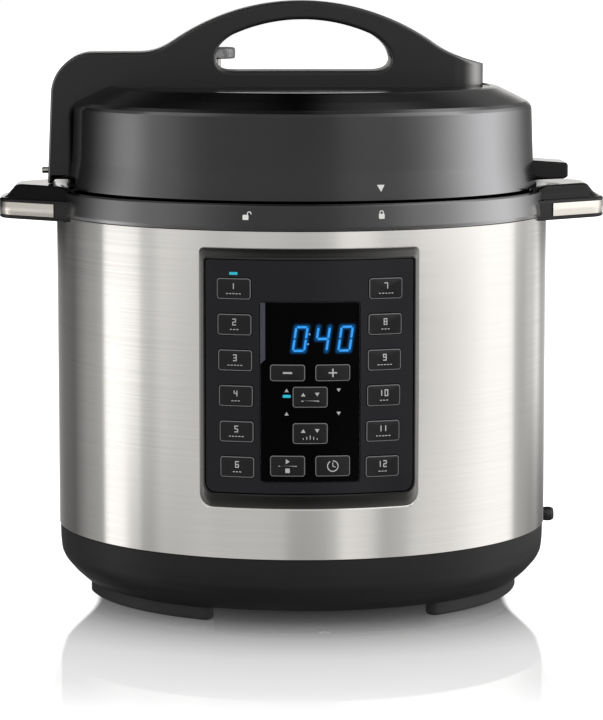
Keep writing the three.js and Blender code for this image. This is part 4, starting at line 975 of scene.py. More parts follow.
def build_side_handles():
    """Both side handles: a gripped tier with a groove for its steel band, and a rounded hump on top."""
    tier = mm(
        (2.8, 206.5), (1.5, 206.5), (0.8, 206.7), (0.25, 207.1), (0, 207.7), (0, 208.35), (1.1, 208.35),
        (1.1, 215.95), (0, 215.95), (0, 216.3), (0.2, 216.9), (0.65, 217.4), (1.3, 217.72), (2.2, 217.8), (3.2, 217.8),
    )
    hump = mm(
        (0.4, 214), (0, 214), (0, 217.3), (0.5, 217.9), (2.0, 218.7), (4.0, 220.7), (5.6, 222.8), (6.4, 223.7),
        (7.3, 224.3), (8.4, 224.65), (9.7, 224.8), (10.2, 224.8),
    )
    band = mm(
        (0.1, 208.9), (0.2, 208.7), (0.4, 208.65), (0.8, 208.65), (0.8, 215.65), (0.4, 215.65), (0.2, 215.6),
        (0.1, 215.4),
    )
    for side in SIDES:
        plan = handle_plan(0, 16 * MM, 134.4 * MM)
        body = plate("grip_body", [plan], tier, sided(side))
        cap = plate("grip_cap", [handle_plan(2.2 * MM, 13 * MM, 126.5 * MM)], hump, sided(side), sharp=50)
        whole = joined("grip_" + side, [body, cap])
        piece(whole, "gloss", "housing", "gloss_black", "side_handle_" + side)
        path = dense(plan, 1.5 * MM)
        shown = np.hypot(path[:, 0], path[:, 1]) > 141.5 * MM
        first = int(np.flatnonzero(shown & ~np.roll(shown, 1))[0])
        path = np.roll(path, -first, 0)[: shown.sum()]
        mesh = strip("grip_band_" + side, path, band, sided(side))
        piece(mesh, "band", "housing", "band_steel", "handle_band_" + side)


# ---------- control panel ----------
def build_bezel():
    """The panel's frame: nine outlines on the cylinder, from the wall up its flanks to the lip round the film and
    back in. The same share of each outline's corners and sides is joined, so each runs through the same steps."""
    wall, front, inner = WALL_R, PANEL_R, OVERLAY_HALF + 0.45 * MM
    z0, z1, lip0, lip1 = PANEL_Z0, PANEL_Z1, OVERLAY_Z0, OVERLAY_Z1
    rows = (
        (wall - 0.2 * MM, PANEL_HALF, z0, z1, 7.5, 2.5),
        (wall + 1.0 * MM, PANEL_HALF, z0, z1, 7.5, 2.5),
        (wall + 1.8 * MM, PANEL_HALF - 0.5 * MM, z0 + 0.6 * MM, z1 - 0.3 * MM, 7.4, 2.5),
        (front - 1.1 * MM, inner + 2.3 * MM, lip0 - 3.6 * MM, lip1 + 2.5 * MM, 6.6, 2.4),
        (front - 0.3 * MM, inner + 1.2 * MM, lip0 - 1.9 * MM, lip1 + 1.5 * MM, 6.2, 2.3),
        (front, inner + 0.7 * MM, lip0 - 1.1 * MM, lip1 + 1.1 * MM, 6.0, 2.2),
        (front, inner + 0.2 * MM, lip0 - 0.55 * MM, lip1 + 0.55 * MM, 5.3, 1.8),
        (front - 0.25 * MM, inner, lip0 - 0.4 * MM, lip1 + 0.4 * MM, 5.2, 1.7),
        (wall + 0.5 * MM, inner, lip0 - 0.4 * MM, lip1 + 0.4 * MM, 5.2, 1.7),
    )
    flats = [even_outline(half, z0, z1, lower * MM, upper * MM) for _, half, z0, z1, lower, upper in rows]
    points = [wrapped(row[0])(np.pad(flat, ((0, 0), (0, 1)))) for row, flat in zip(rows, flats)]
    faces = grid_faces(len(rows), len(points[0]), wrap_rows=True)
    mesh = build("panel_frame", np.concatenate(points), faces, sharp=50)
    piece(mesh, "bezel", "housing", "bezel_black", "control_bezel")


def even_outline(half, z0, z1, lower, upper, side=48, corner=8):
    """A rounded rectangle whose corners and sides always have the same number of points, so that two of them join."""
    corners = (
        (half - lower, z0 + lower, lower, -90), (half - upper, z1 - upper, upper, 0),
        (-half + upper, z1 - upper, upper, 90), (-half + lower, z0 + lower, lower, 180),
    )
    arcs = [arc_points((u, z), radius, start, start + 90, corner + 1) for u, z, radius, start in corners]
    share = np.linspace(0, 1, side + 1)[1:-1, None]
    sides = [arc[-1] + (arcs[(k + 1) % 4][0] - arc[-1]) * share for k, arc in enumerate(arcs)]
    return np.concatenate([part for pair in zip(arcs, sides) for part in pair])


def key_places():
    """Each key's name, turn in degrees, middle height and height, taken from its node in the frame."""
    for name in sorted(body for body in frame["bodies"] if body.startswith("key_")):
        lo, hi = low(name), high(name)
        x, y, z = (lo + hi) / 2
        yield name, math.degrees(math.atan2(x, AXIS_Y - y)), z, hi[2] - lo[2] - 1.6 * MM


def key_holes(outer, grow):
    """Openings for the outer or for the middle keys, each a little larger than its key."""
    holes = []
    for name, turn, z, tall in key_places():
        if ("left" in name or "right" in name) == outer:
            u, w, h = math.radians(turn) * PANEL_R, KEY_W / 2 + grow, tall / 2 + grow
            holes.append(box_outline(u - w, u + w, z - h, z + h, KEY_CORNER + grow))
    return holes


def build_overlay():
    """The printed film over the panel, with openings for the screen and the outer keys."""
    half, grow = OVERLAY_HALF, PLAY * 0.6
    rim = [[-half, OVERLAY_Z0], [half, OVERLAY_Z0], [half, OVERLAY_Z1], [-half, OVERLAY_Z1]]
    screen = box_outline(-SCREEN_HALF - grow, SCREEN_HALF + grow, SCREEN_Z0 - grow, SCREEN_Z1 + grow, 2 * MM)
    outlines = [rounded(rim, np.array([5, 5, 1.5, 1.5]) * MM), screen, *key_holes(True, grow)]
    section = edge_section(OVERLAY_R - 0.6 * MM, OVERLAY_R, 0.05 * MM, 0.15 * MM, 3)
    mesh = plate("panel_film", outlines, section, wrapped(0.0), across(0, -half, half, 2.5 * MM))
    piece(mesh, "overlay", "housing", "overlay_black", "control_overlay")


def build_screen():
    """The tinted window, with openings for the middle keys, and the pale step at its upper left."""
    left, right, bottom, top = -SCREEN_HALF + PLAY, SCREEN_HALF - PLAY, SCREEN_Z0 + PLAY, SCREEN_Z1 - PLAY
    outlines = [box_outline(left, right, bottom, top, 1.7 * MM), *key_holes(False, PLAY * 0.5)]
    section = edge_section(SCREEN_R - 1.0 * MM, SCREEN_R, 0.1 * MM, 0.25 * MM, 3)
    mesh = plate("display_pane", outlines, section, wrapped(0.0), across(0, left, right, 2.5 * MM))
    set_flat(mesh)
    piece(mesh, "screen", "housing", "screen_black", "display_window")

    step, edge, ledge = left + 2.4 * MM, left - 0.2 * MM, DIGIT_Z - 6.5 * MM
    bevel = np.array([[edge, ledge], [step, ledge + 2.4 * MM], [step, top], [edge, top]])
    mesh = plate("screen_step", [bevel], mm((0, -0.04), (0, 0.05)), wrapped(SCREEN_R))
    piece(mesh, "bevel", "housing", "screen_black")


def set_flat(mesh, turn=0.0, z=0.0, tall=None):
    """Stores each vertex's flat pattern place, [arc, height, 0] about a turn and a height, and half of a key's own
    height."""
    co = vertex_places(mesh)
    angle = np.arctan2(co[:, 0], AXIS_Y - co[:, 1]) - math.radians(turn)
    flat = np.stack([angle * PANEL_R, co[:, 2] - z, np.zeros(len(co))], 1)
    mesh.attributes.new("flat", "FLOAT_VECTOR", "POINT").data.foreach_set("vector", flat.astype(np.float32).ravel())
    if tall is not None:
        values = np.full(len(co), tall / 2, np.float32)
        mesh.attributes.new("tall", "FLOAT", "POINT").data.foreach_set("value", values)


def bar_ends(x0, x1, bottom, top, over=0.0):
    """Both ends of each of a numeral's seven bars, as [x, height, x, height]. The top and bottom ones may reach over
    the others."""
    middle = (bottom + top) / 2
    return {
        "a": (x0 - over, top, x1 + over, top), "b": (x1, middle, x1, top), "c": (x1, bottom, x1, middle),
        "d": (x0 - over, bottom, x1 + over, bottom), "e": (x0, bottom, x0, middle), "f": (x0, middle, x0, top),
        "g": (x0, middle, x1, middle),
    }


def digit_bars(left, digit):
    """The ends of each lit bar of a digit of the display, before it is slanted."""
    half = DIGIT_STROKE / 2
    ends = bar_ends(left + half, left + DIGIT_W - half, DIGIT_Z + half, DIGIT_Z + DIGIT_H - half)
    return np.array([ends[letter] for letter in SEGMENTS[digit]])


def segment_outlines(left, digit):
    """The lit bars of one slanted digit. A bar is a long hexagon between two corners of the digit's frame; x is moved
    by the slant times the height above the digit's foot."""
    half, gap = DIGIT_STROKE / 2, 0.18 * MM
    for end in digit_bars(left, digit):
        p, q = end[:2], end[2:]
        on = (q - p) / np.linalg.norm(q - p)
        side = np.array([-on[1], on[0]]) * half
        p, q = p + on * gap, q - on * gap
        a, b = p + on * half, q - on * half
        hexagon = np.array([p, a - side, b - side, q, b + side, a + side])
        hexagon[:, 0] += DIGIT_SLANT * (hexagon[:, 1] - DIGIT_Z)
        yield hexagon


def build_lights():
    """The lit digits and the bars beside the keys, as films just proud of the window and the panel."""
    film, place = mm((0, -0.03), (0, 0.05)), wrapped(SCREEN_R)
    outlines = [o for left, digit in zip(DIGIT_LEFTS, SHOWN_DIGITS) for o in segment_outlines(left, digit)]
    meshes = [plate("digit", [o], film, place) for o in outlines]
    piece(joined("lit_digits", meshes), "digits", "housing", "display_blue")
    colon_x, dots = DIGIT_LEFTS[0] + DIGIT_W + 0.9 * MM, []
    for up in (0.3 * DIGIT_H, 0.68 * DIGIT_H):
        dot = circle_outline(colon_x + DIGIT_SLANT * up, DIGIT_Z + up, 0.5 * MM, 16)
        dots.append(plate("dot", [dot], film, place))
    piece(joined("lit_colon", dots), "colon", "housing", "display_blue")

    bars = (
        ("lit_bar_program", OVERLAY_R, (-42.3, -37.9, 186.3, 187.7)),
        ("lit_bar_pressure", SCREEN_R, (-14.2, -10.1, 123.1, 124.6)),
    )
    for name, radius, sides in bars:
        mesh = plate(name, [box_outline(*mm(*sides), 0.3 * MM, 3)], film, wrapped(radius))
        piece(mesh, "lamp", "housing", "display_blue")


def stroke(x0, y0, x1, y1, width):
    """A straight bar between two points, as an outline."""
    p, q = np.array([x0, y0], float), np.array([x1, y1], float)
    on = (q - p) / np.linalg.norm(q - p)
    side = np.array([-on[1], on[0]]) * width / 2
    return np.array([p - side, q - side, q + side, p + side])


def triangle(x, y, size, up=True):
    """An arrowhead that points up or down."""
    sign = 1 if up else -1
    points = [[x - size, y - sign * size * 0.8], [x + size, y - sign * size * 0.8], [x, y + sign * size * 0.8]]
    return np.array(points)


def sideways(x, y, size):
    """An arrowhead that points right."""
    return np.array([[x - size * 0.7, y - size], [x + size * 0.9, y], [x - size * 0.7, y + size]])


NUMERALS = {
    "0": "abcdef", "1": "bc", "2": "abged", "3": "abgcd", "4": "fgbc", "5": "afgcd",
    "6": "afgedc", "7": "abc", "8": "abcdefg", "9": "abcdfg",
}


def numeral(text, y, height, width):
    """Plain upright numerals made of bars, side by side about the middle."""
    step, w, outlines = height * 0.86, height * 0.5, []
    for k, letter in enumerate(text):
        x = (k - (len(text) - 1) / 2) * step - (w / 2 if letter == "1" else 0)
        ends = bar_ends(x - w / 2, x + w / 2, y - height / 2, y + height / 2, width / 2)
        outlines += [stroke(*ends[segment], width) for segment in NUMERALS[letter]]
    return outlines


ARROWS = [triangle(-3.6, 1.4, 1.2), triangle(3.6, 1.4, 1.2, False)]
SCALE_MARKS = ((-3.6, 0.8), (-1.8, 1.5), (0, 2.2), (1.8, 1.5), (3.6, 0.8))
CLOCK = np.concatenate([arc_points((0, 0), 3.0, 90, -240, 23), arc_points((0, 0), 2.5, -240, 90, 23)])
SIGNS = {
    "key_minus": [stroke(-2.4, 0, 2.4, 0, 1.0)],
    "key_plus": [stroke(-2.2, 0, 2.2, 0, 0.75), stroke(0, -2.2, 0, 2.2, 0.75)],
    "key_pressure": [*ARROWS, stroke(-4.6, -2.0, 4.6, -2.0, 0.5)],
    "key_temperature": [*ARROWS, *(stroke(x, -3.2, x, -3.2 + tall, 0.42) for x, tall in SCALE_MARKS)],
    "key_start": [
        sideways(0, 2.4, 1.3), stroke(-4.8, 0, 4.8, 0, 0.35), box_outline(-1.15, 1.15, -3.5, -1.2, 0.2, 2),
    ],
    "key_timer": [CLOCK, stroke(0, -0.2, 0, 1.9, 0.42), stroke(-0.1, 0, 1.4, -0.6, 0.42)],
}


def key_print(name):
    """The outlines in millimetres printed on a key, about its middle. Outer keys have a number over a row of bars,
    and the inner ones a sign for what they do."""
    if name in SIGNS:
        return SIGNS[name]
    number = int(name[-1]) + (0 if "left" in name else 6)
    last = 2 if number % 2 else 1
    bars = [k * 1.7 for k in range(-last, last + 1)]
    return numeral(str(number), 1.35, 3.0, 0.5) + [stroke(x - 0.55, -2.5, x + 0.55, -2.5, 0.42) for x in bars]


def build_keys():
    """The keys: each is carried from its flange over a rounded edge, then drawn in to its middle as a shallow dome,
    whose level rises by one less the share to a power. Each has its printed sign."""
    dome, power = bpy.context.scene.cooker_sizes.key_dome, 2.2
    edge = mm((0, 0), (0, 0), (0.04, 0.16), (0.16, 0.28), (0.36, 0.36))
    edge[:, 1] += KEY_FRONT - 0.36 * MM
    edge[0, 1] = KEY_BACK
    for name, turn, z, tall in key_places():
        outline = dense(box_outline(-KEY_W / 2, KEY_W / 2, -tall / 2, tall / 2, KEY_CORNER), 0.9 * MM)
        inward, laid = inward_normals(outline), wrapped(0.0, turn, z)
        rows = [np.insert(outline + inward * inset, 2, level, 1) for inset, level in edge]
        rows.insert(0, rows[0] * (0, 0, 1))
        rim = rows[-1]
        rows += [rim * (share, share, 1) + (0, 0, dome * (1 - share**power)) for share in np.linspace(1, 0, 12)[1:]]
        mesh = build("cap_" + name[4:], laid(np.concatenate(rows)), grid_faces(len(rows), len(outline)), sharp=60)
        set_flat(mesh, turn=turn, z=z, tall=tall)
        piece(mesh, "key", name, "key_black", name)

        def domed(points, laid=laid, tall=tall):
            share = np.maximum(np.abs(points[:, 0]) / (KEY_W / 2), np.abs(points[:, 1]) / (tall / 2))
            lift = KEY_FRONT + dome * (1 - share**power)
            return laid(points + lift[:, None] * (0, 0, 1))

        film = mm((0, -0.05), (0, 0.05))
        meshes = [plate("sign", [dense(outline * MM, 0.8 * MM)], film, domed) for outline in key_print(name)]
        piece(joined("sign_" + name[4:], meshes), "print", name, "key_black")


def build_prints():
    """The small arrowheads beside the pressure key, and the pointer on the lid."""
    meshes = []
    for z in (126.9, 114.8):
        for arrow in (triangle(-12.2, z, 1.1), triangle(14.8, z, 1.1, False)):
            meshes.append(plate("arrow", [arrow * MM], mm((0, -0.03), (0, 0.05)), wrapped(SCREEN_R)))
    piece(joined("level_arrows", meshes), "print", "housing", "screen_black")
    heights, radii = lid_outline()[:4, ::-1].T
    pointer = mm((-2.1, 1.8), (2.1, 1.8), (0, -1.8))
    lay_mark("lid_pointer", [pointer], 16.7, 229.9 * MM, lambda z: np.interp(z, heights, radii), "lid", "lid_grey")


# ---------- lid ----------
def build_lid():
    """The lid's shell, a closed section turned round the axis, and its round top plate with two openings."""
    inner = mm(
        (103.7, 276.4), (105.0, 273.2), (109.4, 272.8), (121.9, 267.4), (124.2, 264.2), (124.8, 260), (124.9, 240),
        (126.6, 228), (127.9, 223.9),
    )
    corners = (0.3, 2, 6, 0, 2, 1.2, 1.2, 1.5, 1.5, 0.5, 0.5, 0.2, 0.2, 0.2, 0.2, 1, 2, 2, 2, 2, 2, 0.2)
    section = rounded(np.concatenate([lid_outline(), inner]), np.array(corners) * MM + DOUBLES)
    shell = turned("lid_shell", section, steps=256)
    holes = [circle_outline(*place, 4.5 * MM) for place in (VALVE, FLOAT)]
    edge = edge_section(274 * MM, 277.5 * MM, 0.2 * MM, 0.5 * MM)
    top = plate("lid_plate", [disc_outline(104 * MM, 256), *holes], edge)
    piece(joined("lid_shell", [shell, top]), "lid", "lid", "lid_grey", "lid_cover")


def handle_outlines():
    """The handle's elevation: an arch on a circle, eased into the stub at the right and the shoulder at the left by
    Bezier curves, down the arm to its foot, and back along the lid a little inside its surface; and its window."""
    arch_r, reach, stub, top = 125.0, 70.0, 100.0, 324.3
    shoulder, corner, side = 296.3, 23.0, 139.2
    centre, end = top - arch_r, math.acos(reach / arch_r)
    end_z, end = centre + arch_r * math.sin(end), math.degrees(end)
    rim = (
        [(stub, 274.6), (stub, 289.9)],
        bezier_points((stub, 289.9), (stub - 14, 293.4), (reach + 7, end_z - 5.5), (reach, end_z), 14),
        arc_points((0, centre), arch_r, end, 180 - end, 60)[1:],
        bezier_points((-reach, end_z), (-reach - 6, end_z - 4), (-reach - 11, shoulder), (-reach - 20, shoulder), 12),
        arc_points((2 + corner - side, shoulder - corner), corner, 90, 180, 16)[1:],
        [(-side, 225.5), (-side + 2.8, 225.5), (-side + 3.8, 227.5), (-125.9, 227.5), (-125.9, 262.3)],
        [(-125.2, 265.6), (-122.3, 268.2), (-109.5, 273.9), (-105, 274.6)],
    )
    crown, half_w, foot, floor, ceiling = 92.0, 47.0, 38.0, 286.3, 314.3
    centre, end = ceiling - crown, math.acos(foot / crown)
    end_z, end = centre + crown * math.sin(end), math.degrees(end)
    wide, bend, knee = half_w + 1.5, floor + 6.5, floor + 12
    window = (
        [(foot, floor)],
        bezier_points((foot, floor), (foot + 7, floor), (wide, floor + 2), (wide, bend)),
        bezier_points((wide, bend), (half_w + 1, knee), (foot + 6, end_z - 3.5), (foot, end_z)),
        arc_points((0, centre), crown, end, 180 - end, 48)[1:],
        bezier_points((-foot, end_z), (-foot - 6, end_z - 3.5), (-half_w - 1, knee), (-half_w, bend)),
        bezier_points((-half_w, bend), (-half_w, floor + 2), (-foot - 6, floor), (-foot, floor)),
    )
    return [distinct(np.concatenate(parts) * MM) for parts in (rim, window)]


def build_handle():
    """The lid's handle: its elevation carried across its width with rounded edges. Past the middle of the stub's end
    the width is scaled by the root of one less the share squared, which rounds the end. The rest peg stands on it."""
    half, stub_middle, stub_half = 18 * MM, 82 * MM, 18 * MM
    cuts = [(0, stub_middle + stub_half * math.sin(math.radians(a))) for a in np.arange(0, 90, 7.5)]

    def place(points):
        share = np.clip((points[:, 0] - stub_middle) / stub_half, 0, 1)
        return np.stack([points[:, 0], AXIS_Y + points[:, 2] * np.sqrt(1 - share**2), points[:, 1]], 1)

    mesh = plate("arched_grip", handle_outlines(), edge_section(-half, half, 2.0 * MM, 2.0 * MM, 6), place, cuts)
    piece(mesh, "handle", "lid", "satin_black", "lid_handle")
    section = mm((0, -143.1), (1.2, -143.1), (1.7, -142.6), (1.7, -138.4), (0, -138.4))
    peg = turned("rest_peg", section, (AXIS_Y, 231.5 * MM), 24, along_x=True)
    piece(peg, "fastener", "lid", "fastener_steel")


def build_tab():
    """The lid's side tab: a plan with rounded tip corners, whose top and bottom are straight lines over x."""
    inner, outer, longest, tall = 126.6, 146.1, 1.5 * MM, 9.0 * MM
    plan = soft(((inner, -15), (outer, -15), (outer, 15), (inner, 15)), (0.3, 1.2, 1.2, 0.3), 8)

    def place(points):
        x = points[:, 0] / MM
        bottom = np.interp(x, [124.2, 144.1, outer], [226.3, 227.1, 228.2])
        top = np.interp(x, [124.2, 145.1, outer], [237.4, 235.9, 235.2])
        z = (bottom + (top - bottom) * points[:, 2] / tall) * MM
        return np.stack([points[:, 0], points[:, 1] + AXIS_Y, z], 1)

    section = edge_section(0, tall, 0.8 * MM, 1.1 * MM, 5)
    mesh = plate("side_tab", [dense(plan, longest)], section, place, across(0, inner * MM, outer * MM, longest))
    piece(mesh, "gloss", "lid", "gloss_black", "lid_tab")


def build_inner_lid():
    """The pressed inner lid: a flat disc with openings, a sloping collar and skirt turned round the axis, and six
    lugs; its bolt; and the wire rack, a hoop on four legs."""
    section = (
        (93.6, 244.8), (94, 244.8), (106.5, 234.5), (123.2, 234.5), (123.2, 224.7), (124.4, 224.7), (124.4, 235.7),
        (107.1, 235.7), (94.6, 246), (93.6, 246),
    )
    collar = turned("pressed_collar", soft(section, (0.2, 3, 2, 1.2, 0.3, 0.3, 2.2, 3, 3, 0.2)), steps=224)
    holes = [disc_outline(2.9 * MM, 24), circle_outline(*VALVE, 4.4 * MM, 24), circle_outline(*FLOAT, 3.0 * MM, 24)]
    edge = edge_section(INNER_Z1 - SHEET, INNER_Z1, 0.1 * MM, 0.1 * MM, 2)
    disc = plate("pressed_disc", [disc_outline(93.7 * MM, 224), *holes], edge)
    lug = edge_section(INNER_Z0, INNER_Z0 + 2 * MM, 0.4 * MM, 0.4 * MM)
    whole = joined("pressed_lid", [collar, disc, *lugs(121.2 * MM, 123.7 * MM, lug)])
    piece(whole, "pressed", "lid", "pressed_steel", "inner_lid")

    bolt = (0, 240.5), (4.6, 240.5), (5.8, 241.5), (6, 244.5), (2.5, 244.5), (2.5, 268), (0, 269)
    turned_piece("acorn_bolt", bolt, None, 32, "fastener", "lid", "fastener_steel", "inner_lid_bolt")

    meshes = [turned("rack_hoop", circle_outline(104.5 * MM, 228.6 * MM, 1.2 * MM, 12), steps=160)]
    leg = mm((0, 228.6), (1.2, 228.6), (1.2, 236.2), (0, 236.2))
    meshes += [turned("leg", leg, around_axis(104.2 * MM, turn), 16) for turn in (20, 110, 200, 290)]
    piece(joined("wire_rack", meshes), "fastener", "lid", "fastener_steel", "gasket_rack")


def build_seal():
    """The silicone ring: a lipped section turned round the axis."""
    section = (
        (106.5, 225.6), (108.5, 221.9), (111.5, 221.9), (112.3, 223), (113.6, 221.9), (115.9, 221.9), (116.5, 223.6),
        (116.5, 234.2), (106.5, 234.2),
    )
    corners = (1, 0.6, 0.4, 0.4, 0.4, 0.6, 0.8, 1.4, 1.4)
    turned_piece("silicone_ring", section, corners, 192, "silicone", "seal", "seal_silicone", "sealing_ring")


def build_valves():
    """The steam pipe, the valve's stem and knurled knob, and the float: small sections turned round their axes. The
    knob's side is drawn in by a cube of the cosine of 36 times the angle."""
    pipe = (
        (2, 236.8), (4, 236.8), (4, 242.5), (7, 242.5), (7, 244.5), (4, 244.5), (4, 278), (3.6, 278.3), (2.3, 278.3),
        (2, 278),
    )
    where = "fastener", "lid", "fastener_steel", "steam_pipe"
    turned_piece("steam_tube", pipe, None, 32, *where, centre=VALVE)
    stem = (
        (0, 278.6), (3.7, 278.6), (4, 278.9), (4, 284), (3.5, 284.4), (3.5, 285.4), (4, 285.8), (4, 291.0),
        (2.2, 291.0), (2.2, 294.8), (0, 294.8),
    )
    where = "stem", "valve_stem", "fastener_steel", "steam_valve_stem"
    turned_piece("valve_post", stem, None, 40, *where, centre=VALVE)

    knob = (
        (2.6, 291.3), (11.4, 291.3), (12, 291.9), (12, 296.4), (11.7, 297.1), (11, 297.5), (0, 297.5), (0, 295.5),
        (2.6, 295.5),
    )
    angle = np.linspace(0, 2 * np.pi, 288, endpoint=False)
    ribs = 1 - 0.004 * (0.5 + 0.5 * np.cos(36 * angle)) ** 3
    r, h = mm(*knob).T[:, :, None]
    r = np.where(np.isclose(r, 12 * MM), r * ribs, r)
    points = [VALVE[0] + r * np.cos(angle), VALVE[1] + r * np.sin(angle), np.broadcast_to(h, r.shape)]
    faces = grid_faces(len(knob), len(angle), wrap_rows=True)
    mesh = build("valve_cap", np.stack(points, -1).reshape(-1, 3), faces)
    piece(mesh, "knob", "valve_knob", "knob_grey", "steam_valve_knob")

    pin = (
        (0, 239.1), (4.4, 239.1), (5, 239.6), (5, 241), (2.6, 241), (2.6, 246.3), (4.2, 246.5), (4.2, 247.6),
        (2.6, 247.8), (2.6, 273.3), (4, 274.3), (4, 276.3), (3.6, 276.6), (0, 276.6),
    )
    turned_piece("float_pin", pin, None, 32, "float", "float", "float_red", "float_valve", centre=FLOAT)


# ---------- condensate collector ----------
def build_collector():
    """The smoked cup that catches the drips, a section carried down its outside and up inside it, and its holder."""
    section = mm(
        (3.4, 150.9), (2.6, 150.9), (1.5, 151.2), (0.6, 151.9), (0.15, 152.9), (0, 154), (0, 205.3), (0.3, 205.8),
        (0.7, 205.9), (1.3, 205.9), (1.7, 205.8), (2, 205.3), (2, 154.5), (2.4, 153.3), (3.2, 152.9), (4, 152.9),
    )
    cup = plate("drip_cup", [sector_outline(137.8 * MM, 157.8 * MM, 77.1, 102.9, 4 * MM)], section)
    piece(cup, "smoke", "collector", "collector_smoke", "condensate_collector")
    inner, top, edge = 135.3 * MM, 208.3 * MM, 0.4 * MM
    plans = (
        (sector_outline(inner, 137.3 * MM, 80.1, 99.9, 0.9 * MM, 30), 194.3 * MM),
        (sector_outline(inner, 144.3 * MM, 86, 94, 2 * MM, 20), 206.3 * MM),
    )
    meshes = [plate("holder", [outline], edge_section(bottom, top, edge, edge)) for outline, bottom in plans]
    piece(joined("cup_holder", meshes), "ring", "housing", "satin_black", "collector_holder")


# ---------- parts that keep their own shape ----------
def dress_inside():
    """Gives the parts that are kept from the frame their procedural finishes."""
    coats = {
        "board": ("power_board", "control_board"), "membrane": ("switch_membrane",), "carrier": ("panel_carrier",),
        "display": ("display_module",), "fastener": ("handle_screw_1", "handle_screw_2"), "pressed": ("valve_shield",),
    }
    for coat, names in coats.items():
        for name in names:
            materials = frame["nodes"][name].data.materials
            materials.clear()
            materials.append(finish(coat))


# ---------- stage ----------
def ramped(tree, position, stops):
    """A colour ramp's grey level at a position, from stops given as (position, level)."""
    node = add(tree, "ShaderNodeValToRGB", {0: position})
    elements = node.color_ramp.elements
    while len(elements) < len(stops):
        elements.new(0.5)
    for element, (place, level) in zip(elements, stops):
        element.position = place
        element.color = (level, level, level, 1)
    return node.outputs[0]


def seen(tree):
    """One for the rays that show a thing, and none for those that light others."""
    path = tree.nodes.new("ShaderNodeLightPath").outputs
    glossy = calc(tree, "MAXIMUM", path["Is Glossy Ray"], path["Is Transmission Ray"])
    return calc(tree, "MAXIMUM", path["Is Camera Ray"], glossy)


def build_floor():
    """A pale floor that mirrors what stands on it, less and less away from the base, and keeps its shadow; in front of
    the base its glow dips as a painted soft shadow. The mirror image also ends at both sides of the base, in the plan
    turned to face the camera."""
    material, tree, surface = bare_material("floor_white")
    x, y, _ = split(tree, here(tree))
    y = calc(tree, "SUBTRACT", y, float(AXIS_Y))
    share = calc(tree, "DIVIDE", length(tree, x, y), MIRROR_REACH)
    mirror, painted_shadow = (
        ramped(tree, share, [(radius / MIRROR_REACH, level) for radius, level in stops])
        for stops in (MIRROR_SHARES, FLOOR_GLOW_AND_PAINTED_SHADOW)
    )
    facing = add(tree, "ShaderNodeLayerWeight", {"Blend": 0.5}).outputs["Facing"]
    sine, cosine = math.sin(CAMERA_TURN), math.cos(CAMERA_TURN)
    turned_x = calc(tree, "MULTIPLY_ADD", y, -sine, calc(tree, "MULTIPLY", x, cosine))
    turned_y = calc(tree, "MULTIPLY_ADD", y, cosine, calc(tree, "MULTIPLY", x, sine))
    inset = ranged(tree, turned_y, *MIRROR_DEPTH, 0.0, 0.0115)
    side = calc(tree, "ADD", calc(tree, "ABSOLUTE", turned_x), inset)
    within = ranged(tree, side, *MIRROR_SIDE, 1.0, 0.0)
    mirror = product(tree, mirror, ranged(tree, facing, 0.35, 0.75), within)
    ahead = ranged(tree, y, *FLOOR_AHEAD, 1.0, 0.0)
    # painted shadow: in front of the base and inside the mirror band, the floor's glow follows the ramp, which dips
    # near the base
    glow = between(tree, within, 0.9, between(tree, ahead, 0.6, painted_shadow))
    glow = calc(tree, "MULTIPLY", seen(tree), glow)
    plain = add(tree, "ShaderNodeBsdfDiffuse", {"Color": (0.9, 0.9, 0.9, 1)}).outputs[0]
    lift = add(tree, "ShaderNodeEmission", {"Color": WHITE, "Strength": glow}).outputs[0]
    lit = add(tree, "ShaderNodeAddShader", {0: plain, 1: lift}).outputs[0]
    gloss = add(tree, "ShaderNodeBsdfGlossy", {"Color": WHITE, "Roughness": 0.03}).outputs[0]
    tree.links.new(add(tree, "ShaderNodeMixShader", {0: mirror, 1: lit, 2: gloss}).outputs[0], surface)
    reach, mesh = 9.0, bpy.data.meshes.new("floor")
    corners = [(-reach, -reach, 0), (reach, -reach, 0), (reach, reach, 0), (-reach, reach, 0)]
    mesh.from_pydata(corners, [], [(0, 1, 2, 3)])
    floor = staged(mesh, material)
    floor.visible_glossy = False


def staged(mesh, material):
    """An object of the stage."""
    mesh.materials.append(material)
    thing = bpy.data.objects.new(mesh.name, mesh)
    bpy.context.scene.collection.objects.link(thing)
    return thing


LIGHT_STRIPS = (
    (-180, 1.0), (-171, 0.9), (-163, 0.3), (-149, 0.19), (-133, 0.15), (-119, 0.4), (-107.5, 0.5), (-105.5, 0.57),
    (-104, 1.25), (-101, 1.42), (-86.3, 1.3), (-81, 1.24), (-79.6, 0.89), (-74, 0.83), (-68, 1.03), (-40, 0.78),
    (-1.6, 0.64), (8, 0.71), (15.7, 0.95), (29.2, 0.95), (37, 0.76), (52.3, 1.02), (93.7, 1.36), (108, 1.37),
    (112.2, 1.2), (114.8, 0.66), (119, 0.56), (133, 0.53), (140.9, 0.77), (149, 0.53), (157, 0.5), (169, 1.0),
)
LOW_SHARES = (
    (-180, 1.2), (-163, 1.0), (-147, 0.85), (-106, 0.78), (-103, 0.98), (-92, 0.94), (-86.5, 0.48), (-80, 0.4),
    (-60, 0.52), (-45, 0.76), (-20, 0.86), (-11, 0.88), (-6, 0.62), (3, 0.58), (13, 0.64), (18, 1.0), (26, 0.9),
    (35.5, 0.62), (45, 0.62), (50, 0.78), (70, 0.76), (85, 0.9), (100, 0.92), (111, 0.93), (124, 0.74), (137, 0.44),
    (148, 0.28), (172, 0.25),
)
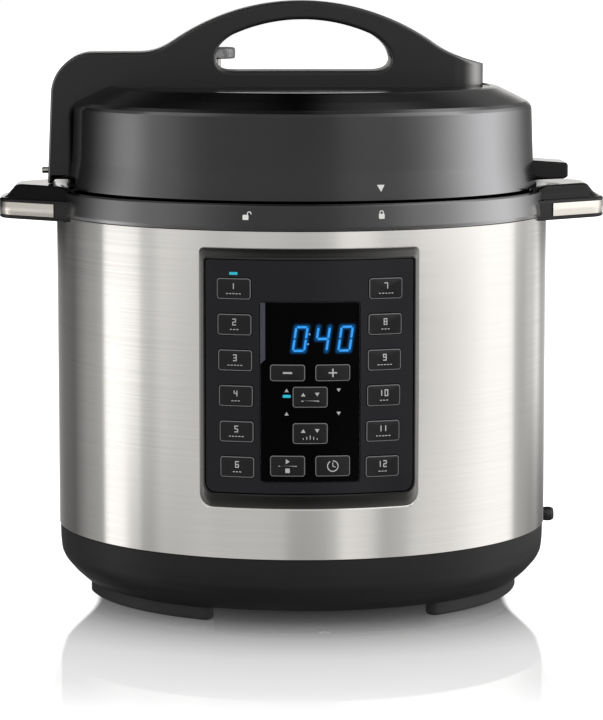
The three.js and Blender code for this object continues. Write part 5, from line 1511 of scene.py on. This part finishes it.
SIDE_LIGHTS = (
    (-180, 0.05), (-160, 0.0), (-140, 0.02), (-127, 0.04), (-119, 0.13), (-110, 0.28), (-104, 0.43), (-97, 0.6),
    (-90, 0.76), (-78, 0.62), (-64, 0.96), (-52, 0.96), (-41, 0.76), (-30, 0.74), (0, 0.68), (12, 0.72), (19, 1.25),
    (31, 1.4), (42, 1.42), (53, 1.5), (65, 1.5), (77, 1.58), (90, 1.58), (106, 1.45), (118, 1.0), (124, 0.7),
    (138, 0.35), (151, 0.23), (165, 0.22), (180, 0.3),
)
CEILING_LIGHTS = (
    (-180, 0.0), (-172, 0.03), (-160, 0.06), (-120, 0.1), (-60, 0.26), (-45, 0.1), (0, 0.06), (40, 0.1),
    (62, 0.6), (110, 0.75), (130, 0.5), (148, 0.28), (160, 0.2), (169, 0.14), (176, 0.0), (180, 0.0),
)
TOP_SHARES = (
    (-112, 1.0), (-100, 1.15), (-85, 1.15), (-74, 0.88), (-52, 0.74), (-38, 0.74), (-25, 0.88), (0, 0.9), (15, 0.88),
    (28, 0.7), (37, 0.42), (49, 0.42), (56, 0.56), (64, 0.66), (78, 0.78), (92, 0.97), (122, 1.0), (130, 1.4),
    (142, 1.4), (150, 1.0),
)
BRIGHTEST = 1.8
# heights, as shares of the dome's radius, over which one part of the studio passes into the next
FOOT_FADE, TOP_FADE, HORIZON, OVERHEAD = (-0.17, -0.07), (-0.102, -0.086), (0.0, 0.03), (0.4, 0.5)
# places over which the floor's mirror image narrows, ends at its sides, and passes into the floor ahead
MIRROR_DEPTH, MIRROR_SIDE, FLOOR_AHEAD = (-0.157, -0.052), (0.1195, 0.1245), (-0.1, -0.02)
CAMERA_TURN = math.radians(1.85)
MIRROR_REACH = 0.42
MIRROR_SHARES = (
    (0.0, 0.97), (0.085, 0.96), (0.101, 0.92), (0.116, 0.87), (0.132, 0.8), (0.147, 0.69), (0.162, 0.59),
    (0.176, 0.5), (0.205, 0.34), (0.25, 0.2), (0.33, 0.07), (0.42, 0.0),
)

# the floor's glow by distance from the axis in metres; its dip round the base is a painted soft shadow
FLOOR_GLOW_AND_PAINTED_SHADOW = (
    (0.0, 0.75), (0.095, 0.72), (0.115, 0.62), (0.14, 0.45), (0.167, 0.32), (0.19, 0.24), (0.215, 0.16),
    (0.25, 0.06), (0.276, 0.04), (0.302, 0.07), (0.326, 0.13), (0.36, 0.28), (0.42, 0.45),
)


def build_studio():
    """The studio's light and dark screens, seen only in reflections: a dome round the object, whose strength comes
    from ramps over the azimuth. The strips reach up to the horizon, dimmed by shares near their foot and by others
    further up; above it are the side lights, with plain white behind, and then the ceiling. Heights are shares of the
    dome's radius."""
    reach = 2.6
    around = np.linspace(0, 2 * np.pi, 96, endpoint=False)
    tilt = np.linspace(np.pi / 2, -np.pi / 2, 60)
    a, e = np.meshgrid(around, tilt)
    points = np.stack([reach * np.cos(e) * np.sin(a), AXIS_Y - reach * np.cos(e) * np.cos(a), reach * np.sin(e)], -1)
    mesh = build("studio_screens", points.reshape(-1, 3), grid_faces(len(tilt), len(around)))
    material, tree, surface = bare_material("screens")
    x, y, z = split(tree, here(tree))
    forward, height = calc(tree, "SUBTRACT", float(AXIS_Y), y), calc(tree, "DIVIDE", z, reach)
    azimuth = calc(tree, "ARCTAN2", x, forward)
    share = calc(tree, "MULTIPLY_ADD", azimuth, 0.5 / math.pi, 0.5)
    strips, side_lights, ceiling, low_shares, top_shares = (
        calc(tree, "MULTIPLY", BRIGHTEST, ramped(tree, share, [(t / 360 + 0.5, v / BRIGHTEST) for t, v in stops]))
        for stops in (LIGHT_STRIPS, SIDE_LIGHTS, CEILING_LIGHTS, LOW_SHARES, TOP_SHARES)
    )
    foot = between(tree, ranged(tree, height, *FOOT_FADE), low_shares, 1.0)
    top = between(tree, ranged(tree, height, *TOP_FADE), 1.0, top_shares)
    strength = product(tree, strips, foot, top, ranged(tree, height, -0.85, -0.25, 0.35, 1.0))
    aside = calc(tree, "ABSOLUTE", azimuth)
    above = calc(tree, "ADD", height, ranged(tree, aside, 2.3, 2.6, 0.0, 0.03))
    strength = between(tree, ranged(tree, above, *HORIZON), strength, side_lights)
    behind = product(
        tree,
        ranged(tree, aside, math.radians(161), math.radians(168)),
        ranged(tree, height, 0.03, 0.07),
        ranged(tree, height, 0.28, 0.36, 1.0, 0.0),
    )
    strength = between(tree, behind, strength, 1.0)
    rear = ranged(tree, forward, -0.6 * reach, -0.4 * reach, 0.9, 0.0)
    rear = calc(tree, "MULTIPLY", rear, ranged(tree, height, 0.52, 0.7))
    over = ranged(tree, height, 0.8, 0.95, 1.0, 0.2)
    ceiling = product(tree, ceiling, over, calc(tree, "SUBTRACT", 1.0, rear))
    front = ranged(tree, calc(tree, "DIVIDE", forward, reach), -0.1, 0.1)
    overhead = ranged(tree, calc(tree, "MULTIPLY_ADD", front, -0.43, height), *OVERHEAD)
    strength = between(tree, overhead, strength, ceiling)
    light = add(tree, "ShaderNodeEmission", {"Color": (1.0, 0.985, 0.965, 1), "Strength": strength})
    tree.links.new(light.outputs[0], surface)
    dome = staged(mesh, material)
    for ray in ("camera", "diffuse", "transmission", "volume_scatter", "shadow"):
        setattr(dome, "visible_" + ray, False)


def build_world():
    """A white world, at full strength for the rays that show it and softer for the light that it gives."""
    world = bpy.data.worlds.new("white_room")
    world.use_nodes = True
    tree = world.node_tree
    tree.nodes.clear()
    end = tree.nodes.new("ShaderNodeOutputWorld")
    strength = calc(tree, "MULTIPLY_ADD", seen(tree), 0.35, 0.65)
    back = add(tree, "ShaderNodeBackground", {"Color": WHITE, "Strength": strength})
    tree.links.new(back.outputs[0], end.inputs[0])
    bpy.context.scene.world = world


def build_lamp(name, place, target, width, height, power):
    """A soft rectangular lamp, aimed at a point."""
    light = bpy.data.lights.new(name, "AREA")
    light.shape, light.size, light.size_y, light.energy = "RECTANGLE", width, height, power
    lamp = bpy.data.objects.new(name, light)
    lamp.location = place
    lamp.rotation_euler = (Vector(target) - Vector(place)).to_track_quat("-Z", "Y").to_euler()
    bpy.context.scene.collection.objects.link(lamp)
    lamp.visible_glossy = False


def build_camera():
    """The camera: it stands in front, a little to the left and above, and looks slightly down."""
    distance, height, lens = 1.822, 0.353, 165.0
    turn, tilt = CAMERA_TURN, math.radians(7.12)
    data = bpy.data.cameras.new("camera")
    data.lens, data.sensor_width = lens, 36.0
    camera = bpy.data.objects.new("camera", data)
    camera.location = (-distance * math.sin(turn), AXIS_Y - distance * math.cos(turn), height)
    camera.rotation_euler = (math.pi / 2 - tilt, 0, -turn)
    bpy.context.scene.collection.objects.link(camera)
    bpy.context.scene.camera = camera


def build_stage():
    """The floor, the screens, the world, three soft lamps and the camera."""
    build_floor()
    build_studio()
    build_world()
    build_lamp("key_light", (-1.4, -1.7, 1.9), (0, 0, 0.15), 1.2, 1.2, 16)
    build_lamp("fill_light", (1.7, -1.2, 1.2), (0, 0, 0.15), 1.2, 1.2, 12)
    build_lamp("top_light", (0, 0.3, 2.2), (0, 0, 0.1), 1.6, 1.6, 12)
    build_camera()
    bpy.context.scene.view_settings.view_transform = "Standard"


# ---------- settings that a user would change ----------
class CookerSizes(bpy.types.PropertyGroup):
    """Sizes of the details."""

    key_dome: FloatProperty(
        name="Key Dome", description="How far a key's middle rises over its edge",
        default=0.22 * MM, min=0.0, unit="LENGTH", precision=5,
    )


def colour_property(name, description, default):
    """A colour setting."""
    return FloatVectorProperty(name=name, description=description, default=default, subtype="COLOR", min=0.0, max=1.0)


class CookerColours(bpy.types.PropertyGroup):
    """Colours of the finishes."""

    steel: colour_property("Steel", "Brushed steel wall", (0.74, 0.73, 0.715))
    base: colour_property("Base", "Moulded base", (0.0105, 0.0105, 0.011))
    lid: colour_property("Lid", "Satin lid and ring", (0.008, 0.008, 0.0085))
    handle: colour_property("Handle", "Arched handle", (0.008, 0.008, 0.0085))
    gloss: colour_property("Gloss", "Polished side handles and tab", (0.004, 0.004, 0.0042))
    bezel: colour_property("Bezel", "Panel frame", (0.006, 0.0062, 0.0062))
    overlay: colour_property("Overlay", "Film over the panel", (0.006, 0.006, 0.0085))
    key: colour_property("Keys", "Film over the keys", (0.004, 0.004, 0.005))
    outline: colour_property("Key Outline", "Line round each key", (0.16, 0.16, 0.165))
    print: colour_property("Print", "Signs printed on the keys", (0.42, 0.42, 0.43))
    digits: colour_property("Digits", "Lit digits", (0.015, 0.3, 0.9))
    lamps: colour_property("Lamps", "Lit bars", (0.01, 0.4, 0.52))
    aluminium: colour_property("Aluminium", "Cooking pot", (0.58, 0.59, 0.6))
    band: colour_property("Bands", "Steel bands of the side handles", (0.72, 0.69, 0.64))


# ---------- operators and panel ----------
class Step:
    """What every building step shares: it runs its own parts in order."""

    def execute(self, context):
        for part in self.parts:
            part()
        return {"FINISHED"}


class COOKER_OT_base(Step, bpy.types.Operator):
    """Build the base, its cover with screws, the feet and the cord gland"""

    bl_idname = "cooker.base"
    bl_label = "Base"
    parts = (build_base, build_cover, build_feet, build_gland)


class COOKER_OT_housing(Step, bpy.types.Operator):
    """Build the steel wall, the top ring, and the well with its heater"""

    bl_idname = "cooker.housing"
    bl_label = "Housing"
    parts = (build_wall, build_ring, build_well, build_spring)


class COOKER_OT_side_handles(Step, bpy.types.Operator):
    """Build the side handles and their steel bands"""

    bl_idname = "cooker.side_handles"
    bl_label = "Side Handles"
    parts = (build_side_handles,)


class COOKER_OT_panel_parts(Step, bpy.types.Operator):
    """Build the control panel's frame, film, screen, lights and signs"""

    bl_idname = "cooker.panel_parts"
    bl_label = "Control Panel"
    parts = (build_bezel, build_overlay, build_screen, build_lights, build_prints)


class COOKER_OT_keys(Step, bpy.types.Operator):
    """Build the keys and the signs printed on them"""

    bl_idname = "cooker.keys"
    bl_label = "Keys"
    parts = (build_keys,)


class COOKER_OT_pot(Step, bpy.types.Operator):
    """Build the cooking pot and its silicone ring"""

    bl_idname = "cooker.pot"
    bl_label = "Pot and Seal"
    parts = (build_pot, build_seal)


class COOKER_OT_lid(Step, bpy.types.Operator):
    """Build the lid, its handle and tab, and the inner lid"""

    bl_idname = "cooker.lid"
    bl_label = "Lid"
    parts = (build_lid, build_handle, build_tab, build_inner_lid)


class COOKER_OT_valves(Step, bpy.types.Operator):
    """Build the steam valve and the float"""

    bl_idname = "cooker.valves"
    bl_label = "Valves"
    parts = (build_valves,)


class COOKER_OT_collector(Step, bpy.types.Operator):
    """Build the condensate collector and its holder"""

    bl_idname = "cooker.collector"
    bl_label = "Condensate Collector"
    parts = (build_collector,)


class COOKER_OT_inside(Step, bpy.types.Operator):
    """Finish the inner parts that keep the shape of the frame"""

    bl_idname = "cooker.inside"
    bl_label = "Inner Parts"
    parts = (dress_inside,)


class COOKER_OT_stage(Step, bpy.types.Operator):
    """Build the floor, the screens, the lamps and the camera"""

    bl_idname = "cooker.stage"
    bl_label = "Stage"
    parts = (build_stage,)


OPERATORS = (
    COOKER_OT_base, COOKER_OT_housing, COOKER_OT_side_handles, COOKER_OT_panel_parts, COOKER_OT_keys, COOKER_OT_pot,
    COOKER_OT_lid, COOKER_OT_valves, COOKER_OT_collector, COOKER_OT_inside, COOKER_OT_stage,
)


class COOKER_PT_panel(bpy.types.Panel):
    """Lists the settings and the building steps"""

    bl_idname = "COOKER_PT_panel"
    bl_label = "Pressure Cooker"
    bl_space_type = "VIEW_3D"
    bl_region_type = "UI"
    bl_category = "Cooker"

    def draw(self, context):
        column = self.layout.column(align=True)
        for settings in (context.scene.cooker_sizes, context.scene.cooker_colours):
            for name in settings.bl_rna.properties.keys():
                if name not in ("rna_type", "name"):
                    column.prop(settings, name)
        for step in OPERATORS:
            column.operator(step.bl_idname)


CLASSES = (CookerSizes, CookerColours, *OPERATORS, COOKER_PT_panel)


def register():
    for cls in CLASSES:
        bpy.utils.register_class(cls)
    bpy.types.Scene.cooker_sizes = bpy.props.PointerProperty(type=CookerSizes)
    bpy.types.Scene.cooker_colours = bpy.props.PointerProperty(type=CookerColours)


def unregister():
    del bpy.types.Scene.cooker_colours
    del bpy.types.Scene.cooker_sizes
    for cls in reversed(CLASSES):
        bpy.utils.unregister_class(cls)


def main():
    register()
    bpy.ops.cooker.base()
    bpy.ops.cooker.housing()
    bpy.ops.cooker.side_handles()
    bpy.ops.cooker.panel_parts()
    bpy.ops.cooker.keys()
    bpy.ops.cooker.pot()
    bpy.ops.cooker.lid()
    bpy.ops.cooker.valves()
    bpy.ops.cooker.collector()
    bpy.ops.cooker.inside()
    bpy.ops.cooker.stage()


if __name__ == "__main__":
    main()
